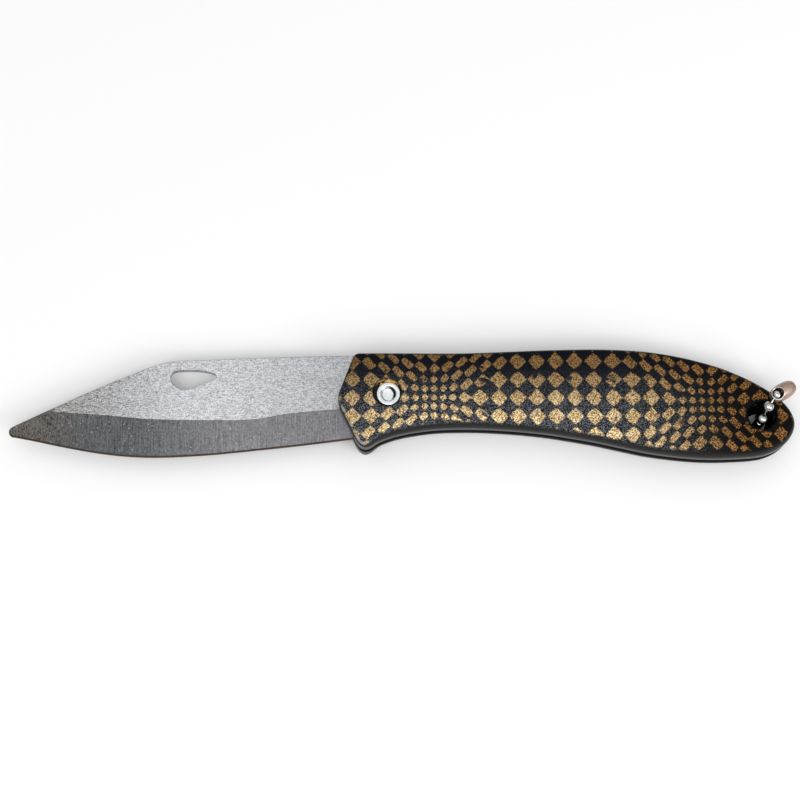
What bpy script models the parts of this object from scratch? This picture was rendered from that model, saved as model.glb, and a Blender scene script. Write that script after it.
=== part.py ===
"""Folding camping knife, blade open, lying flat on its back handle half.

+X runs from the blade's tip to the tail, +Y towards the spine, +Z out of the front face.
The origin is the middle of the bottom of the whole knife. The blade turns about the pivot rivet's axis,
and the bead chain turns about the axis of the tail hole.
"""

import math

import bmesh
import bpy
from mathutils import Matrix, Vector

MM = 0.001

# Clearances and overruns
SLIDE_GAP = 0.1 * MM  # each side of a layer that slides or is clamped flat
BORE_GAP = 0.12 * MM  # round a pin or a shank in its hole
STOP_GAP = 0.15 * MM  # between the stop pin and the tang's shoulders
CUT_OVERRUN = 1.0 * MM

# Handle, measured from the pivot's axis
HANDLE_AFT = 101.5 * MM
HANDLE_FORE = 12.6 * MM
HANDLE_RISE = 11.4 * MM
HANDLE_DROP = 16.6 * MM
FRONT_HALF_THICKNESS = 4.4 * MM
BACK_HALF_THICKNESS = 4.4 * MM
BELLY_EDGE_RADIUS = 2.9 * MM
BACK_BELLY_EDGE_RADIUS = 4.2 * MM
SPINE_EDGE_RADIUS = 1.7 * MM
NOSE_EDGE_RADIUS = 1.3 * MM
TAIL_EDGE_RADIUS = 2.2 * MM
TOP_CORNER_SETBACK = 1.5 * MM
NOSE_CORNER_SETBACK = 2.8 * MM
GUARD_CORNER_SETBACK = 4.4 * MM
EDGE_CURVE_SHARE = 0.85  # the most an edge radius takes of the outline's own radius there

# Shares of HANDLE_AFT or, in front of the pivot, HANDLE_FORE, and of HANDLE_RISE or HANDLE_DROP
OUTLINE_SHARES = (
    (-0.68, 0.912),
    (0.03, 0.912),
    (0.191, 0.912),
    (0.383, 0.978),
    (0.501, 1.0),
    (0.59, 0.978),
    (0.659, 0.921),
    (0.738, 0.789),
    (0.817, 0.588),
    (0.876, 0.368),
    (0.915, 0.184),
    (0.955, -0.033),
    (0.977, -0.16),
    (0.993, -0.301),
    (1.0, -0.458),
    (0.994, -0.614),
    (0.978, -0.753),
    (0.955, -0.861),
    (0.928, -0.934),
    (0.903, -0.967),
    (0.873, -0.985),
    (0.808, -1.0),
    (0.752, -0.991),
    (0.692, -0.955),
    (0.632, -0.901),
    (0.57, -0.819),
    (0.51, -0.738),
    (0.45, -0.672),
    (0.39, -0.614),
    (0.315, -0.566),
    (0.23, -0.536),
    (0.149, -0.535),
    (0.089, -0.563),
    (0.029, -0.627),
    (-0.095, -0.705),
    (-0.254, -0.765),
)
GUARD_SHARES = (-0.512, -0.944)
NOSE_SHARES = (-1.045, -0.115)

# Blade, measured from the pivot's axis
BLADE_LENGTH = 95.6 * MM
BLADE_RISE = 10.9 * MM
BLADE_DROP = 15.7 * MM
BLADE_THICKNESS = 1.8 * MM
EDGE_THICKNESS = 0.3 * MM
TIP_RADIUS = 1.4 * MM
TIP_DROP = 9.1 * MM
HEEL_REACH = 8.5 * MM
HEEL_DROP = 10.4 * MM
CLOSED_ANGLE = math.radians(167)
GRIND_TOP_SHARE = 0.92  # the highest place of the grind line near the tip, from the edge to the back

# Shares of BLADE_LENGTH from the pivot to the tip, and of BLADE_RISE or BLADE_DROP
BACK_LINE_SHARES = (
    (0.987, -0.484),
    (0.898, -0.229),
    (0.77, 0.202),
    (0.655, 0.63),
    (0.612, 0.776),
    (0.572, 0.856),
    (0.5, 0.882),
    (0.3, 0.946),
    (0.096, 0.985),
    (0.0, 0.94),
)
EDGE_LINE_SHARES = (
    (0.987, -0.666),
    (0.941, -0.718),
    (0.857, -0.826),
    (0.772, -0.922),
    (0.687, -0.983),
    (0.603, -1.0),
    (0.476, -0.962),
    (0.35, -0.886),
    (0.223, -0.8),
    (0.096, -0.702),
    (0.0, -0.62),
)
GRIND_LINE_SHARES = (
    (1.0, -0.2),
    (0.893, -0.248),
    (0.756, -0.306),
    (0.622, -0.376),
    (0.453, -0.389),
    (0.353, -0.376),
    (0.27, -0.287),
    (0.149, -0.217),
    (0.0, -0.16),
)

THUMB_HOLE_LENGTH = 11.6 * MM
THUMB_HOLE_HEIGHT = 5.2 * MM
THUMB_HOLE_REACH_SHARE = 0.5178  # of BLADE_LENGTH
THUMB_HOLE_RISE = 4.3 * MM
# Shares of half of THUMB_HOLE_LENGTH and half of THUMB_HOLE_HEIGHT
THUMB_HOLE_SHARES = (
    (-1.0, 0.27),
    (-0.95, -0.15),
    (-0.77, -0.66),
    (-0.47, -0.97),
    (-0.17, -0.91),
    (0.23, -0.58),
    (0.71, -0.19),
    (0.95, 0.08),
    (1.0, 0.42),
    (0.8, 0.74),
    (0.36, 0.94),
    (-0.2, 1.0),
    (-0.72, 0.93),
    (-0.92, 0.72),
)

# Pivot
SHANK_RADIUS = 2.0 * MM
HEAD_RADIUS = 3.03 * MM
HEAD_THICKNESS = 1.2 * MM
HEAD_ROUND = 0.35 * MM
HEAD_HOLLOW_RADIUS = 1.95 * MM
HEAD_HOLLOW_FLOOR_RADIUS = 1.6 * MM
HEAD_HOLLOW_DEPTH = 1.3 * MM
RECESS_RADIUS = 3.7 * MM
RECESS_ASIDE = -0.35 * MM  # from the pivot's axis
FRONT_RECESS_DEPTH = 3.2 * MM
BACK_RECESS_DEPTH = 1.8 * MM
CAP_THICKNESS = 1.2 * MM
WASHER_RADIUS = 5.0 * MM
WASHER_THICKNESS = 0.2 * MM
TANG_RADIUS = 6.6 * MM

# Stop pin and dowels
STOP_PIN_RADIUS = 1.5 * MM
STOP_PIN_REACH = 9.0 * MM
STOP_PIN_ANGLE = math.radians(60)
DOWEL_RADIUS = 0.8 * MM
PIN_SINK = 2.0 * MM
DOWEL_SINK = 0.9 * MM
PIN_CHAMFER = 0.2 * MM
DOWEL_BACKSET = 2.0 * MM  # from the handle's outline to a dowel's axis
DOWEL_SHARES = (0.46, 0.72, 0.995)  # of HANDLE_AFT

# Spacer along the spine and round the tail
SPACER_INSET = 0.25 * MM
SPACER_NARROW = 1.3 * MM
SPACER_WIDE = 3.8 * MM
# Along the handle in shares of HANDLE_AFT, and the width's share of the way from narrow to wide
SPACER_WIDTH_SHARES = (
    (0.0, 0.0),
    (0.25, 0.0),
    (0.42, 1.0),
    (0.78, 1.0),
    (0.87, 0.15),
    (0.965, 0.15),
    (0.985, 0.7),
    (1.0, 0.8),
)
SPACER_START_SHARE = 0.09
SPACER_END_SHARE = -0.62  # of HANDLE_DROP, at the tail

# Tail hole and the relief behind it for the chain
TAIL_HOLE_INSET = 8.4 * MM  # from the handle's end to the hole's axis
TAIL_HOLE_DROP = 6.2 * MM
TAIL_HOLE_RADIUS = 3.4 * MM
TAIL_HOLE_FLARE = 0.5 * MM
BACK_TAIL_HOLE_SHARE = 0.7  # of TAIL_HOLE_RADIUS
RELIEF_DEPTH = 3.2 * MM
RELIEF_RADIUS = 9.0 * MM
RELIEF_OFFSET = 5.2 * MM
RELIEF_ROUND = 0.6 * MM

# Bead chain
CHAIN_ANGLE = math.radians(54)
BEAD_RADIUS = 1.4 * MM
BEAD_COUNT = 11
LINK_RADIUS = 0.25 * MM
LINK_SINK = 0.6 * MM  # into each bead
FLOOR_GAP = 0.25 * MM
COUPLING_LENGTH = 7.0 * MM
COUPLING_RADIUS = 2.1 * MM
COUPLING_WALL = 0.25 * MM
COUPLING_FULLNESS_SHARE = 0.65  # 1 is an ellipsoid, less is fuller
COUPLING_MOUTH_RADIUS = 1.5 * MM
COUPLING_SLOT_HALF_WIDTH = 0.5 * MM
COUPLING_SLOT_DROP = 1.0 * MM  # under the first bead's middle
COUPLING_SETBACK = 0.6 * MM  # from the outer leg to the last bead
COUPLING_TURN = math.radians(-24)  # from the line between the hole and the first bead
COUPLING_BEAD_SPAN = 3.5 * MM
COUPLING_GAP = 0.2 * MM  # over the front face
INNER_LEG_OUT = -0.8 * MM
INNER_LEG_SIDE = -0.6 * MM
OVER_RIM_OUT = 2.2 * MM
OUTER_LEG_GAP = 1.4 * MM

# Facets
SHARP_ANGLE = math.radians(32)
ROUND_SEGMENTS = 48
FINE_SEGMENTS = 24
BEAD_SEGMENTS = 14
BEAD_RINGS = 8
LINK_SEGMENTS = 7
RUN_STEPS = 3
CORNER_STEPS = 8
EDGE_STEPS = 5
EDGE_SMOOTH_PASSES = 6
TIP_STEPS = 4
BLADE_STATIONS = 34
PATH_SAMPLES = 400

# Places worked out from the sizes
SLOT_WIDTH = BLADE_THICKNESS + 2 * (WASHER_THICKNESS + 2 * SLIDE_GAP)
SLOT_BOTTOM = BACK_HALF_THICKNESS
SLOT_TOP = SLOT_BOTTOM + SLOT_WIDTH
FRONT_FACE = SLOT_TOP + FRONT_HALF_THICKNESS
BLADE_MIDDLE = (SLOT_BOTTOM + SLOT_TOP) / 2
PIVOT_X = (BLADE_LENGTH - HANDLE_AFT) / 2
PIVOT_Y = (HANDLE_DROP - HANDLE_RISE) / 2
TAIL_HOLE_REACH = HANDLE_AFT - TAIL_HOLE_INSET
TAIL_HOLE_SURFACE_RADIUS = TAIL_HOLE_RADIUS + TAIL_HOLE_FLARE
STOP_PIN_PLACE = Vector((math.cos(STOP_PIN_ANGLE), math.sin(STOP_PIN_ANGLE))) * STOP_PIN_REACH


# Curves


def table_value(table, place):
    """The table's value at a place, on a smooth curve through its rows."""
    rows = sorted(table)
    place = min(max(place, rows[0][0]), rows[-1][0])
    index = 0
    while index < len(rows) - 2 and place > rows[index + 1][0]:
        index += 1
    (x0, y0), (x1, y1) = rows[index], rows[index + 1]

    def slope(i):
        low = rows[max(i - 1, 0)]
        high = rows[min(i + 1, len(rows) - 1)]
        return (high[1] - low[1]) / (high[0] - low[0])

    span = x1 - x0
    t = (place - x0) / span
    start = y0 * (1 + 2 * t) * (1 - t) ** 2 + slope(index) * span * t * (1 - t) ** 2
    return start + y1 * t * t * (3 - 2 * t) - slope(index + 1) * span * t * t * (1 - t)


def smooth_run(points, steps, closed=False):
    """Points along a curve through the given ones."""
    count = len(points)
    found = []
    for i in range(count if closed else count - 1):
        p1 = points[i]
        p2 = points[(i + 1) % count]
        p0 = points[i - 1] if i or closed else p1
        p3 = points[(i + 2) % count] if closed or i + 2 < count else p2
        for step in range(steps):
            t = step / steps
            found.append(
                (
                    2 * p1
                    + (p2 - p0) * t
                    + (2 * p0 - 5 * p1 + 4 * p2 - p3) * t * t
                    + (3 * p1 - p0 - 3 * p2 + p3) * t**3
                )
                / 2
            )
    if not closed:
        found.append(points[-1])
    return found


def corner_run(before, corner, after, setback):
    """A curve that rounds the corner, leaving each side at the setback."""
    start = corner + (before - corner).normalized() * setback
    end = corner + (after - corner).normalized() * setback
    found = []
    for step in range(CORNER_STEPS + 1):
        t = step / CORNER_STEPS
        found.append(start * (1 - t) ** 2 + corner * 2 * t * (1 - t) + end * t * t)
    return found


def outward_normals(outline):
    """Unit normals of a clockwise outline, pointing out of it."""
    count = len(outline)
    found = []
    for i in range(count):
        along = outline[(i + 1) % count] - outline[i - 1]
        found.append(Vector((-along.y, along.x)).normalized())
    return found


# Meshes


def new_object(name, mesh, place, material=None, parent=None):
    obj = bpy.data.objects.new(name, mesh)
    bpy.context.scene.collection.objects.link(obj)
    obj.location = place
    if parent:
        obj.parent = parent
    if material:
        mesh.materials.append(material)
        mesh.shade_smooth()
        mesh.set_sharp_from_angle(angle=SHARP_ANGLE)
    return obj


def mesh_from(name, points, faces):
    mesh = bpy.data.meshes.new(name)
    mesh.from_pydata([tuple(p) for p in points], [], faces)
    shape = bmesh.new()
    shape.from_mesh(mesh)
    bmesh.ops.recalc_face_normals(shape, faces=shape.faces)
    shape.to_mesh(mesh)
    shape.free()
    return mesh


def ring_mesh(name, rings):
    """A closed mesh through rings of points, with a flat face on the first and the last."""
    count = len(rings[0])
    points = [p for ring in rings for p in ring]
    faces = [list(range(count)), list(range(len(points) - count, len(points)))]
    for level in range(len(rings) - 1):
        low = level * count
        for i in range(count):
            j = (i + 1) % count
            faces.append((low + i, low + j, low + count + j, low + count + i))
    return mesh_from(name, points, faces)


def prism_mesh(name, outline, bottom, top):
    return ring_mesh(name, [[(p.x, p.y, z) for p in outline] for z in (bottom, top)])


def turned_mesh(name, profile, segments=ROUND_SEGMENTS):
    """A profile of (radius, height) turned about +Z, closed where its ends lie on the axis or meet."""
    points = []
    rows = []
    for radius, height in profile:
        if radius > 0:
            rows.append([len(points) + i for i in range(segments)])
            for i in range(segments):
                angle = 2 * math.pi * i / segments
                points.append((radius * math.cos(angle), radius * math.sin(angle), height))
        else:
            rows.append([len(points)])
            points.append((0, 0, height))
    if profile[0][0] > 0:
        rows.append(rows[0])
    faces = []
    for low, high in zip(rows, rows[1:]):
        for i in range(segments):
            j = (i + 1) % segments
            corners = [low[i % len(low)], low[j % len(low)], high[j % len(high)], high[i % len(high)]]
            faces.append(list(dict.fromkeys(corners)))
    return mesh_from(name, points, faces)


def rod_profile(radius, bottom, top, chamfer=0):
    if not chamfer:
        return [(0, bottom), (radius, bottom), (radius, top), (0, top)]
    return [
        (0, bottom),
        (radius - chamfer, bottom),
        (radius, bottom + chamfer),
        (radius, top - chamfer),
        (radius - chamfer, top),
        (0, top),
    ]


def cut(target, mesh, place, turn=None, parent=None):
    """Cuts the mesh out of the target, from its own place."""
    cutter = new_object(mesh.name, mesh, place, parent=parent)
    if turn:
        cutter.rotation_euler = turn
    cutter.hide_render = True
    cutter.display_type = "WIRE"
    modifier = target.modifiers.new(mesh.name, "BOOLEAN")
    modifier.operation = "DIFFERENCE"
    modifier.solver = "EXACT"
    modifier.object = cutter


def new_material(name, colour, roughness, metallic):
    material = bpy.data.materials.new(name)
    material.use_nodes = True
    shader = material.node_tree.nodes["Principled BSDF"]
    shader.inputs["Base Color"].default_value = (*colour, 1)
    shader.inputs["Roughness"].default_value = roughness
    shader.inputs["Metallic"].default_value = metallic
    return material


def place_of(offset, height=0):
    """A place in the world from one measured about the pivot's axis."""
    return Vector((PIVOT_X + offset[0], PIVOT_Y + offset[1], height))


# Handle


def handle_point(shares):
    along, up = shares
    return Vector(
        (
            along * (HANDLE_AFT if along > 0 else HANDLE_FORE),
            up * (HANDLE_RISE if up > 0 else HANDLE_DROP),
        )
    )


def handle_outline():
    """The handle's outline about the pivot, clockwise from the top front corner."""
    run = [handle_point(shares) for shares in OUTLINE_SHARES]
    guard = handle_point(GUARD_SHARES)
    nose = handle_point(NOSE_SHARES)
    top = run[0]
    outline = corner_run(nose, top, run[1], TOP_CORNER_SETBACK)
    outline += smooth_run(run, RUN_STEPS)[RUN_STEPS:-1]
    outline += corner_run(run[-1], guard, nose, GUARD_CORNER_SETBACK)
    outline += corner_run(guard, nose, top, NOSE_CORNER_SETBACK)
    return outline


def edge_radii(outline, normals, belly_radius):
    """The rounding at each point, by the way the edge faces, kept under the outline's own radius."""
    count = len(outline)
    radii = []
    for i, normal in enumerate(normals):
        wanted = (
            max(-normal.y, 0) ** 2 * belly_radius
            + max(normal.y, 0) ** 2 * SPINE_EDGE_RADIUS
            + max(-normal.x, 0) ** 2 * NOSE_EDGE_RADIUS
            + max(normal.x, 0) ** 2 * TAIL_EDGE_RADIUS
        )
        after = (i + 1) % count
        turn = normals[i - 1].angle_signed(normals[after])
        if turn > 0:
            along = (outline[after] - outline[i - 1]).length
            wanted = min(wanted, EDGE_CURVE_SHARE * along / turn)
        radii.append(wanted)
    for _ in range(EDGE_SMOOTH_PASSES):
        radii = [
            min(radii[i], (radii[i - 1] + radii[i] + radii[(i + 1) % count]) / 3) for i in range(count)
        ]
    return radii


def half_mesh(name, outline, inner, outer, belly_radius):
    """One half of the handle, from its flat slot side to its rounded outer face."""
    normals = outward_normals(outline)
    radii = edge_radii(outline, normals, belly_radius)
    outwards = 1 if outer > inner else -1
    rings = [[(p.x, p.y, inner) for p in outline]]
    for step in range(EDGE_STEPS + 1):
        angle = math.pi / 2 * step / EDGE_STEPS
        ring = []
        for point, normal, radius in zip(outline, normals, radii):
            moved = point - normal * radius * (1 - math.cos(angle))
            ring.append((moved.x, moved.y, outer - outwards * radius * (1 - math.sin(angle))))
        rings.append(ring)
    return ring_mesh(name, rings)


def spacer_outline(outline):
    """A strip inside the spine's outline and round the tail, between two cuts across it."""
    normals = outward_normals(outline)
    outer = []
    inner = []
    for point, normal in zip(outline, normals):
        tail_side = point.y < -TAIL_HOLE_DROP and point.y > SPACER_END_SHARE * HANDLE_DROP
        if point.x < SPACER_START_SHARE * HANDLE_AFT or (point.y <= -TAIL_HOLE_DROP and not tail_side):
            continue
        if point.y < 0 and point.x < TAIL_HOLE_REACH:
            continue
        share = table_value(SPACER_WIDTH_SHARES, point.x / HANDLE_AFT)
        width = SPACER_NARROW + (SPACER_WIDE - SPACER_NARROW) * share
        outer.append(point - normal * SPACER_INSET)
        inner.append(point - normal * (SPACER_INSET + width))
    return outer + inner[::-1]


def dowel_places(outline):
    """Each dowel stands its backset in from the outline, at its share of the way to the tail."""
    normals = outward_normals(outline)
    found = []
    for share in DOWEL_SHARES:
        upper = [i for i, p in enumerate(outline) if p.y > -TAIL_HOLE_DROP and normals[i].y > 0]
        nearest = min(upper, key=lambda i: abs(outline[i].x - share * HANDLE_AFT))
        found.append(outline[nearest] - normals[nearest] * DOWEL_BACKSET)
    return found


# Blade


def blade_line(table, x):
    rows = [(-along * BLADE_LENGTH, up * (BLADE_RISE if up > 0 else BLADE_DROP)) for along, up in table]
    return table_value(rows, x)


def blade_section(x, back, edge):
    """Six points across the blade: its back, the grind line and the edge, front side first."""
    grind = blade_line(GRIND_LINE_SHARES, x)
    half = BLADE_THICKNESS / 2
    half_edge = EDGE_THICKNESS / 2

    def half_thickness(y):
        share = min((y - edge) / (grind - edge), 1)
        return half_edge + (half - half_edge) * share

    shoulder = min(grind, edge + (back - edge) * GRIND_TOP_SHARE)
    rows = [(y, half_thickness(y)) for y in (back, shoulder, edge)]
    return [(x, y, z) for y, z in rows] + [(x, y, -z) for y, z in rows[::-1]]


def shoulder_side(pin, side):
    """The unit line out from the pivot through a pin, and the offset that clears the pin on one side."""
    along = pin.normalized()
    across = Vector((-along.y, along.x)) * side * (STOP_PIN_RADIUS + STOP_GAP)
    return along, across


def tang_outline():
    """The tang's outline, clockwise from the blade's back at the heel to the heel's lower corner."""
    opened = STOP_PIN_PLACE
    closed = Matrix.Rotation(-CLOSED_ANGLE, 2) @ opened
    along, across = shoulder_side(opened, 1)
    reach_in = math.sqrt(TANG_RADIUS**2 - across.length_squared)
    back_end = blade_line(BACK_LINE_SHARES, 0)
    shoulder_in = along * reach_in + across
    shoulder_out = along * ((back_end - across.y) / along.y) + across
    heel = Vector((-HEEL_REACH, 0))
    points = [heel + Vector((0, blade_line(BACK_LINE_SHARES, -HEEL_REACH))), shoulder_out, shoulder_in]
    start = math.atan2(shoulder_in.y, shoulder_in.x)
    along, across = shoulder_side(closed, -1)
    shoulder_in = along * reach_in + across
    shoulder_out = along * ((-HEEL_DROP - across.y) / along.y) + across
    end = math.atan2(shoulder_in.y, shoulder_in.x)
    for step in range(1, ROUND_SEGMENTS // 2):
        angle = start + (end - start) * step / (ROUND_SEGMENTS // 2)
        points.append(Vector((math.cos(angle), math.sin(angle))) * TANG_RADIUS)
    points += [shoulder_in, shoulder_out, heel - Vector((0, HEEL_DROP))]
    return points


def blade_mesh():
    sections = []
    for step in range(1, TIP_STEPS):
        angle = math.pi / 2 * step / TIP_STEPS
        x = -BLADE_LENGTH + TIP_RADIUS * (1 - math.cos(angle))
        rise = TIP_RADIUS * math.sin(angle)
        sections.append(blade_section(x, -TIP_DROP + rise, -TIP_DROP - rise))
    start = -BLADE_LENGTH + TIP_RADIUS
    for step in range(BLADE_STATIONS + 1):
        x = start + (-HEEL_REACH - start) * step / BLADE_STATIONS
        back = blade_line(BACK_LINE_SHARES, x)
        sections.append(blade_section(x, back, blade_line(EDGE_LINE_SHARES, x)))
    points = [p for section in sections for p in section]
    count = len(sections[0])
    faces = [list(range(count))]
    for low in range(0, len(points) - count, count):
        for i in range(count):
            j = (i + 1) % count
            faces.append((low + i, low + j, low + count + j, low + count + i))
    back, grind, edge, edge_behind, grind_behind, back_behind = range(len(points) - count, len(points))
    tang = tang_outline()[1:]
    half = BLADE_THICKNESS / 2
    front = list(range(len(points), len(points) + len(tang)))
    behind = [i + len(tang) for i in front]
    points += [(p.x, p.y, half) for p in tang] + [(p.x, p.y, -half) for p in tang]
    faces += [[back, *front, grind], [back_behind, *behind, grind_behind]]
    faces += [[grind, front[-1], edge], [grind_behind, behind[-1], edge_behind]]
    faces += [[edge, front[-1], behind[-1], edge_behind], [back, front[0], behind[0], back_behind]]
    for i in range(len(tang) - 1):
        faces.append([front[i], front[i + 1], behind[i + 1], behind[i]])
    return mesh_from("blade", points, faces)


# Chain


def reach_to_outline(place, angle):
    """The distance from a place inside the handle to its outline, along an angle."""
    along = Vector((math.cos(angle), math.sin(angle)))
    across = Vector((-along.y, along.x))
    outline = [point - place for point in handle_outline()]
    found = []
    for before, after in zip(outline, outline[1:] + outline[:1]):
        start, end = before.dot(across), after.dot(across)
        if (start > 0) != (end > 0):
            found.append(before.lerp(after, start / (start - end)).dot(along))
    return max(found)


def chain_path():
    """The loop's line from the hole's axis: out, to the side and up."""
    top = FRONT_FACE + COUPLING_GAP + COUPLING_RADIUS
    low = FLOOR_GAP + BEAD_RADIUS
    web = reach_to_outline(Vector((TAIL_HOLE_REACH, -TAIL_HOLE_DROP)), CHAIN_ANGLE)
    outer = web + OUTER_LEG_GAP + BEAD_RADIUS
    far = outer - COUPLING_SETBACK
    aside = COUPLING_BEAD_SPAN * math.sin(COUPLING_TURN)
    inner_side = INNER_LEG_SIDE
    route = [
        Vector((far - COUPLING_BEAD_SPAN * math.cos(COUPLING_TURN), 0, top)),
        Vector((OVER_RIM_OUT, 0, FRONT_FACE + BEAD_RADIUS)),
        Vector((INNER_LEG_OUT, inner_side, FRONT_FACE - BEAD_RADIUS)),
        Vector((INNER_LEG_OUT, inner_side, SLOT_TOP)),
        Vector((INNER_LEG_OUT, inner_side, SLOT_BOTTOM)),
        Vector((TAIL_HOLE_RADIUS - 2 * BEAD_RADIUS, inner_side / 2, low + BEAD_RADIUS / 4)),
        Vector((TAIL_HOLE_RADIUS, 0, low)),
        Vector((web, 0, low)),
        Vector((outer, 0, low + 2 * BEAD_RADIUS)),
        Vector((outer + BEAD_RADIUS / 2, aside / 2, BLADE_MIDDLE)),
        Vector((far, aside, SLOT_TOP + 2 * BEAD_RADIUS)),
        Vector((far, aside, top)),
    ]
    steps = PATH_SAMPLES // len(route)
    return smooth_run(route, steps)


def bead_places():
    """Beads at equal steps along the loop's line, the first and the last held in the coupling."""
    path = chain_path()
    lengths = [0]
    for before, after in zip(path, path[1:]):
        lengths.append(lengths[-1] + (after - before).length)
    found = []
    index = 0
    for bead in range(BEAD_COUNT):
        wanted = lengths[-1] * bead / (BEAD_COUNT - 1)
        while index < len(path) - 2 and lengths[index + 1] < wanted:
            index += 1
        share = (wanted - lengths[index]) / (lengths[index + 1] - lengths[index])
        found.append(path[index].lerp(path[index + 1], share))
    return found


def link_between(name, start, end, radius, sink):
    """A wire's mesh from inside one bead to inside the next, and its middle's place."""
    length = (end - start).length - 2 * (BEAD_RADIUS - sink)
    mesh = turned_mesh(name, rod_profile(radius, -length / 2, length / 2), LINK_SEGMENTS)
    mesh.transform((end - start).to_track_quat("Z", "Y").to_matrix().to_4x4())
    return mesh, (start + end) / 2


def bead_mesh(name):
    profile = []
    for ring in range(BEAD_RINGS + 1):
        angle = math.pi * ring / BEAD_RINGS
        radius = BEAD_RADIUS * math.sin(angle) if 0 < ring < BEAD_RINGS else 0
        profile.append((radius, -BEAD_RADIUS * math.cos(angle)))
    return turned_mesh(name, profile, BEAD_SEGMENTS)


def egg_profile(length, radius):
    """Half of an egg-shaped outline, with its middle at the origin."""
    profile = []
    for ring in range(BEAD_RINGS + 1):
        angle = math.pi * ring / BEAD_RINGS
        fullness = math.sin(angle) ** COUPLING_FULLNESS_SHARE if 0 < ring < BEAD_RINGS else 0
        profile.append((radius * fullness, -length / 2 * math.cos(angle)))
    return profile


def make_chain(metal, axis):
    beads = bead_places()
    socket_radius = LINK_RADIUS + BORE_GAP
    socket_sink = LINK_SINK + BORE_GAP
    sockets = []
    for number, (start, end) in enumerate(zip(beads, beads[1:]), 1):
        mesh, middle = link_between(f"chain_link_{number:02d}", start, end, LINK_RADIUS, LINK_SINK)
        new_object(mesh.name, mesh, middle, metal, axis)
        sockets.append(link_between(f"link_socket_{number:02d}", start, end, socket_radius, socket_sink))
    for index, place in enumerate(beads):
        mesh = bead_mesh(f"chain_bead_{index + 1:02d}")
        bead = new_object(mesh.name, mesh, place, metal, axis)
        for socket, middle in sockets[max(index - 1, 0) : index + 1]:
            cut(bead, socket, middle, parent=axis)
    middle = (beads[0] + beads[-1]) / 2
    lie = Matrix.Rotation(math.pi / 2, 4, "Y")
    shell = turned_mesh("chain_coupling", egg_profile(COUPLING_LENGTH, COUPLING_RADIUS), FINE_SEGMENTS)
    shell.transform(lie)
    coupling = new_object(shell.name, shell, middle, metal, axis)
    turn = (0, 0, COUPLING_TURN)
    coupling.rotation_euler = turn
    inside = turned_mesh(
        "coupling_inside",
        egg_profile(COUPLING_LENGTH - 2 * COUPLING_WALL, COUPLING_RADIUS - COUPLING_WALL),
        FINE_SEGMENTS,
    )
    inside.transform(lie)
    cut(coupling, inside, middle, turn, axis)
    past = COUPLING_RADIUS + CUT_OVERRUN
    mouth = turned_mesh("coupling_mouth", rod_profile(COUPLING_MOUTH_RADIUS, 0, past), FINE_SEGMENTS)
    cut(coupling, mouth, beads[0], turn, axis)
    for name, place, heading, reach, bottom, top in (
        ("coupling_near_slot", beads[0], (0, 0, 0), -COUPLING_LENGTH, -COUPLING_SLOT_DROP, past),
        ("coupling_far_slot", beads[-1], turn, COUPLING_LENGTH, -past, 0),
    ):
        half = COUPLING_SLOT_HALF_WIDTH
        low, high = min(reach, -half), max(reach, half)
        outline = [Vector((low, -half)), Vector((high, -half)), Vector((high, half)), Vector((low, half))]
        cut(coupling, prism_mesh(name, outline, bottom, top), place, heading, axis)


# The knife


def pin_hole(target, name, place, radius, sink):
    past = sink + BORE_GAP
    hole = rod_profile(radius + BORE_GAP, SLOT_BOTTOM - past, SLOT_TOP + past)
    cut(target, turned_mesh(f"{name}_hole", hole, FINE_SEGMENTS), place_of(place))


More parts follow.
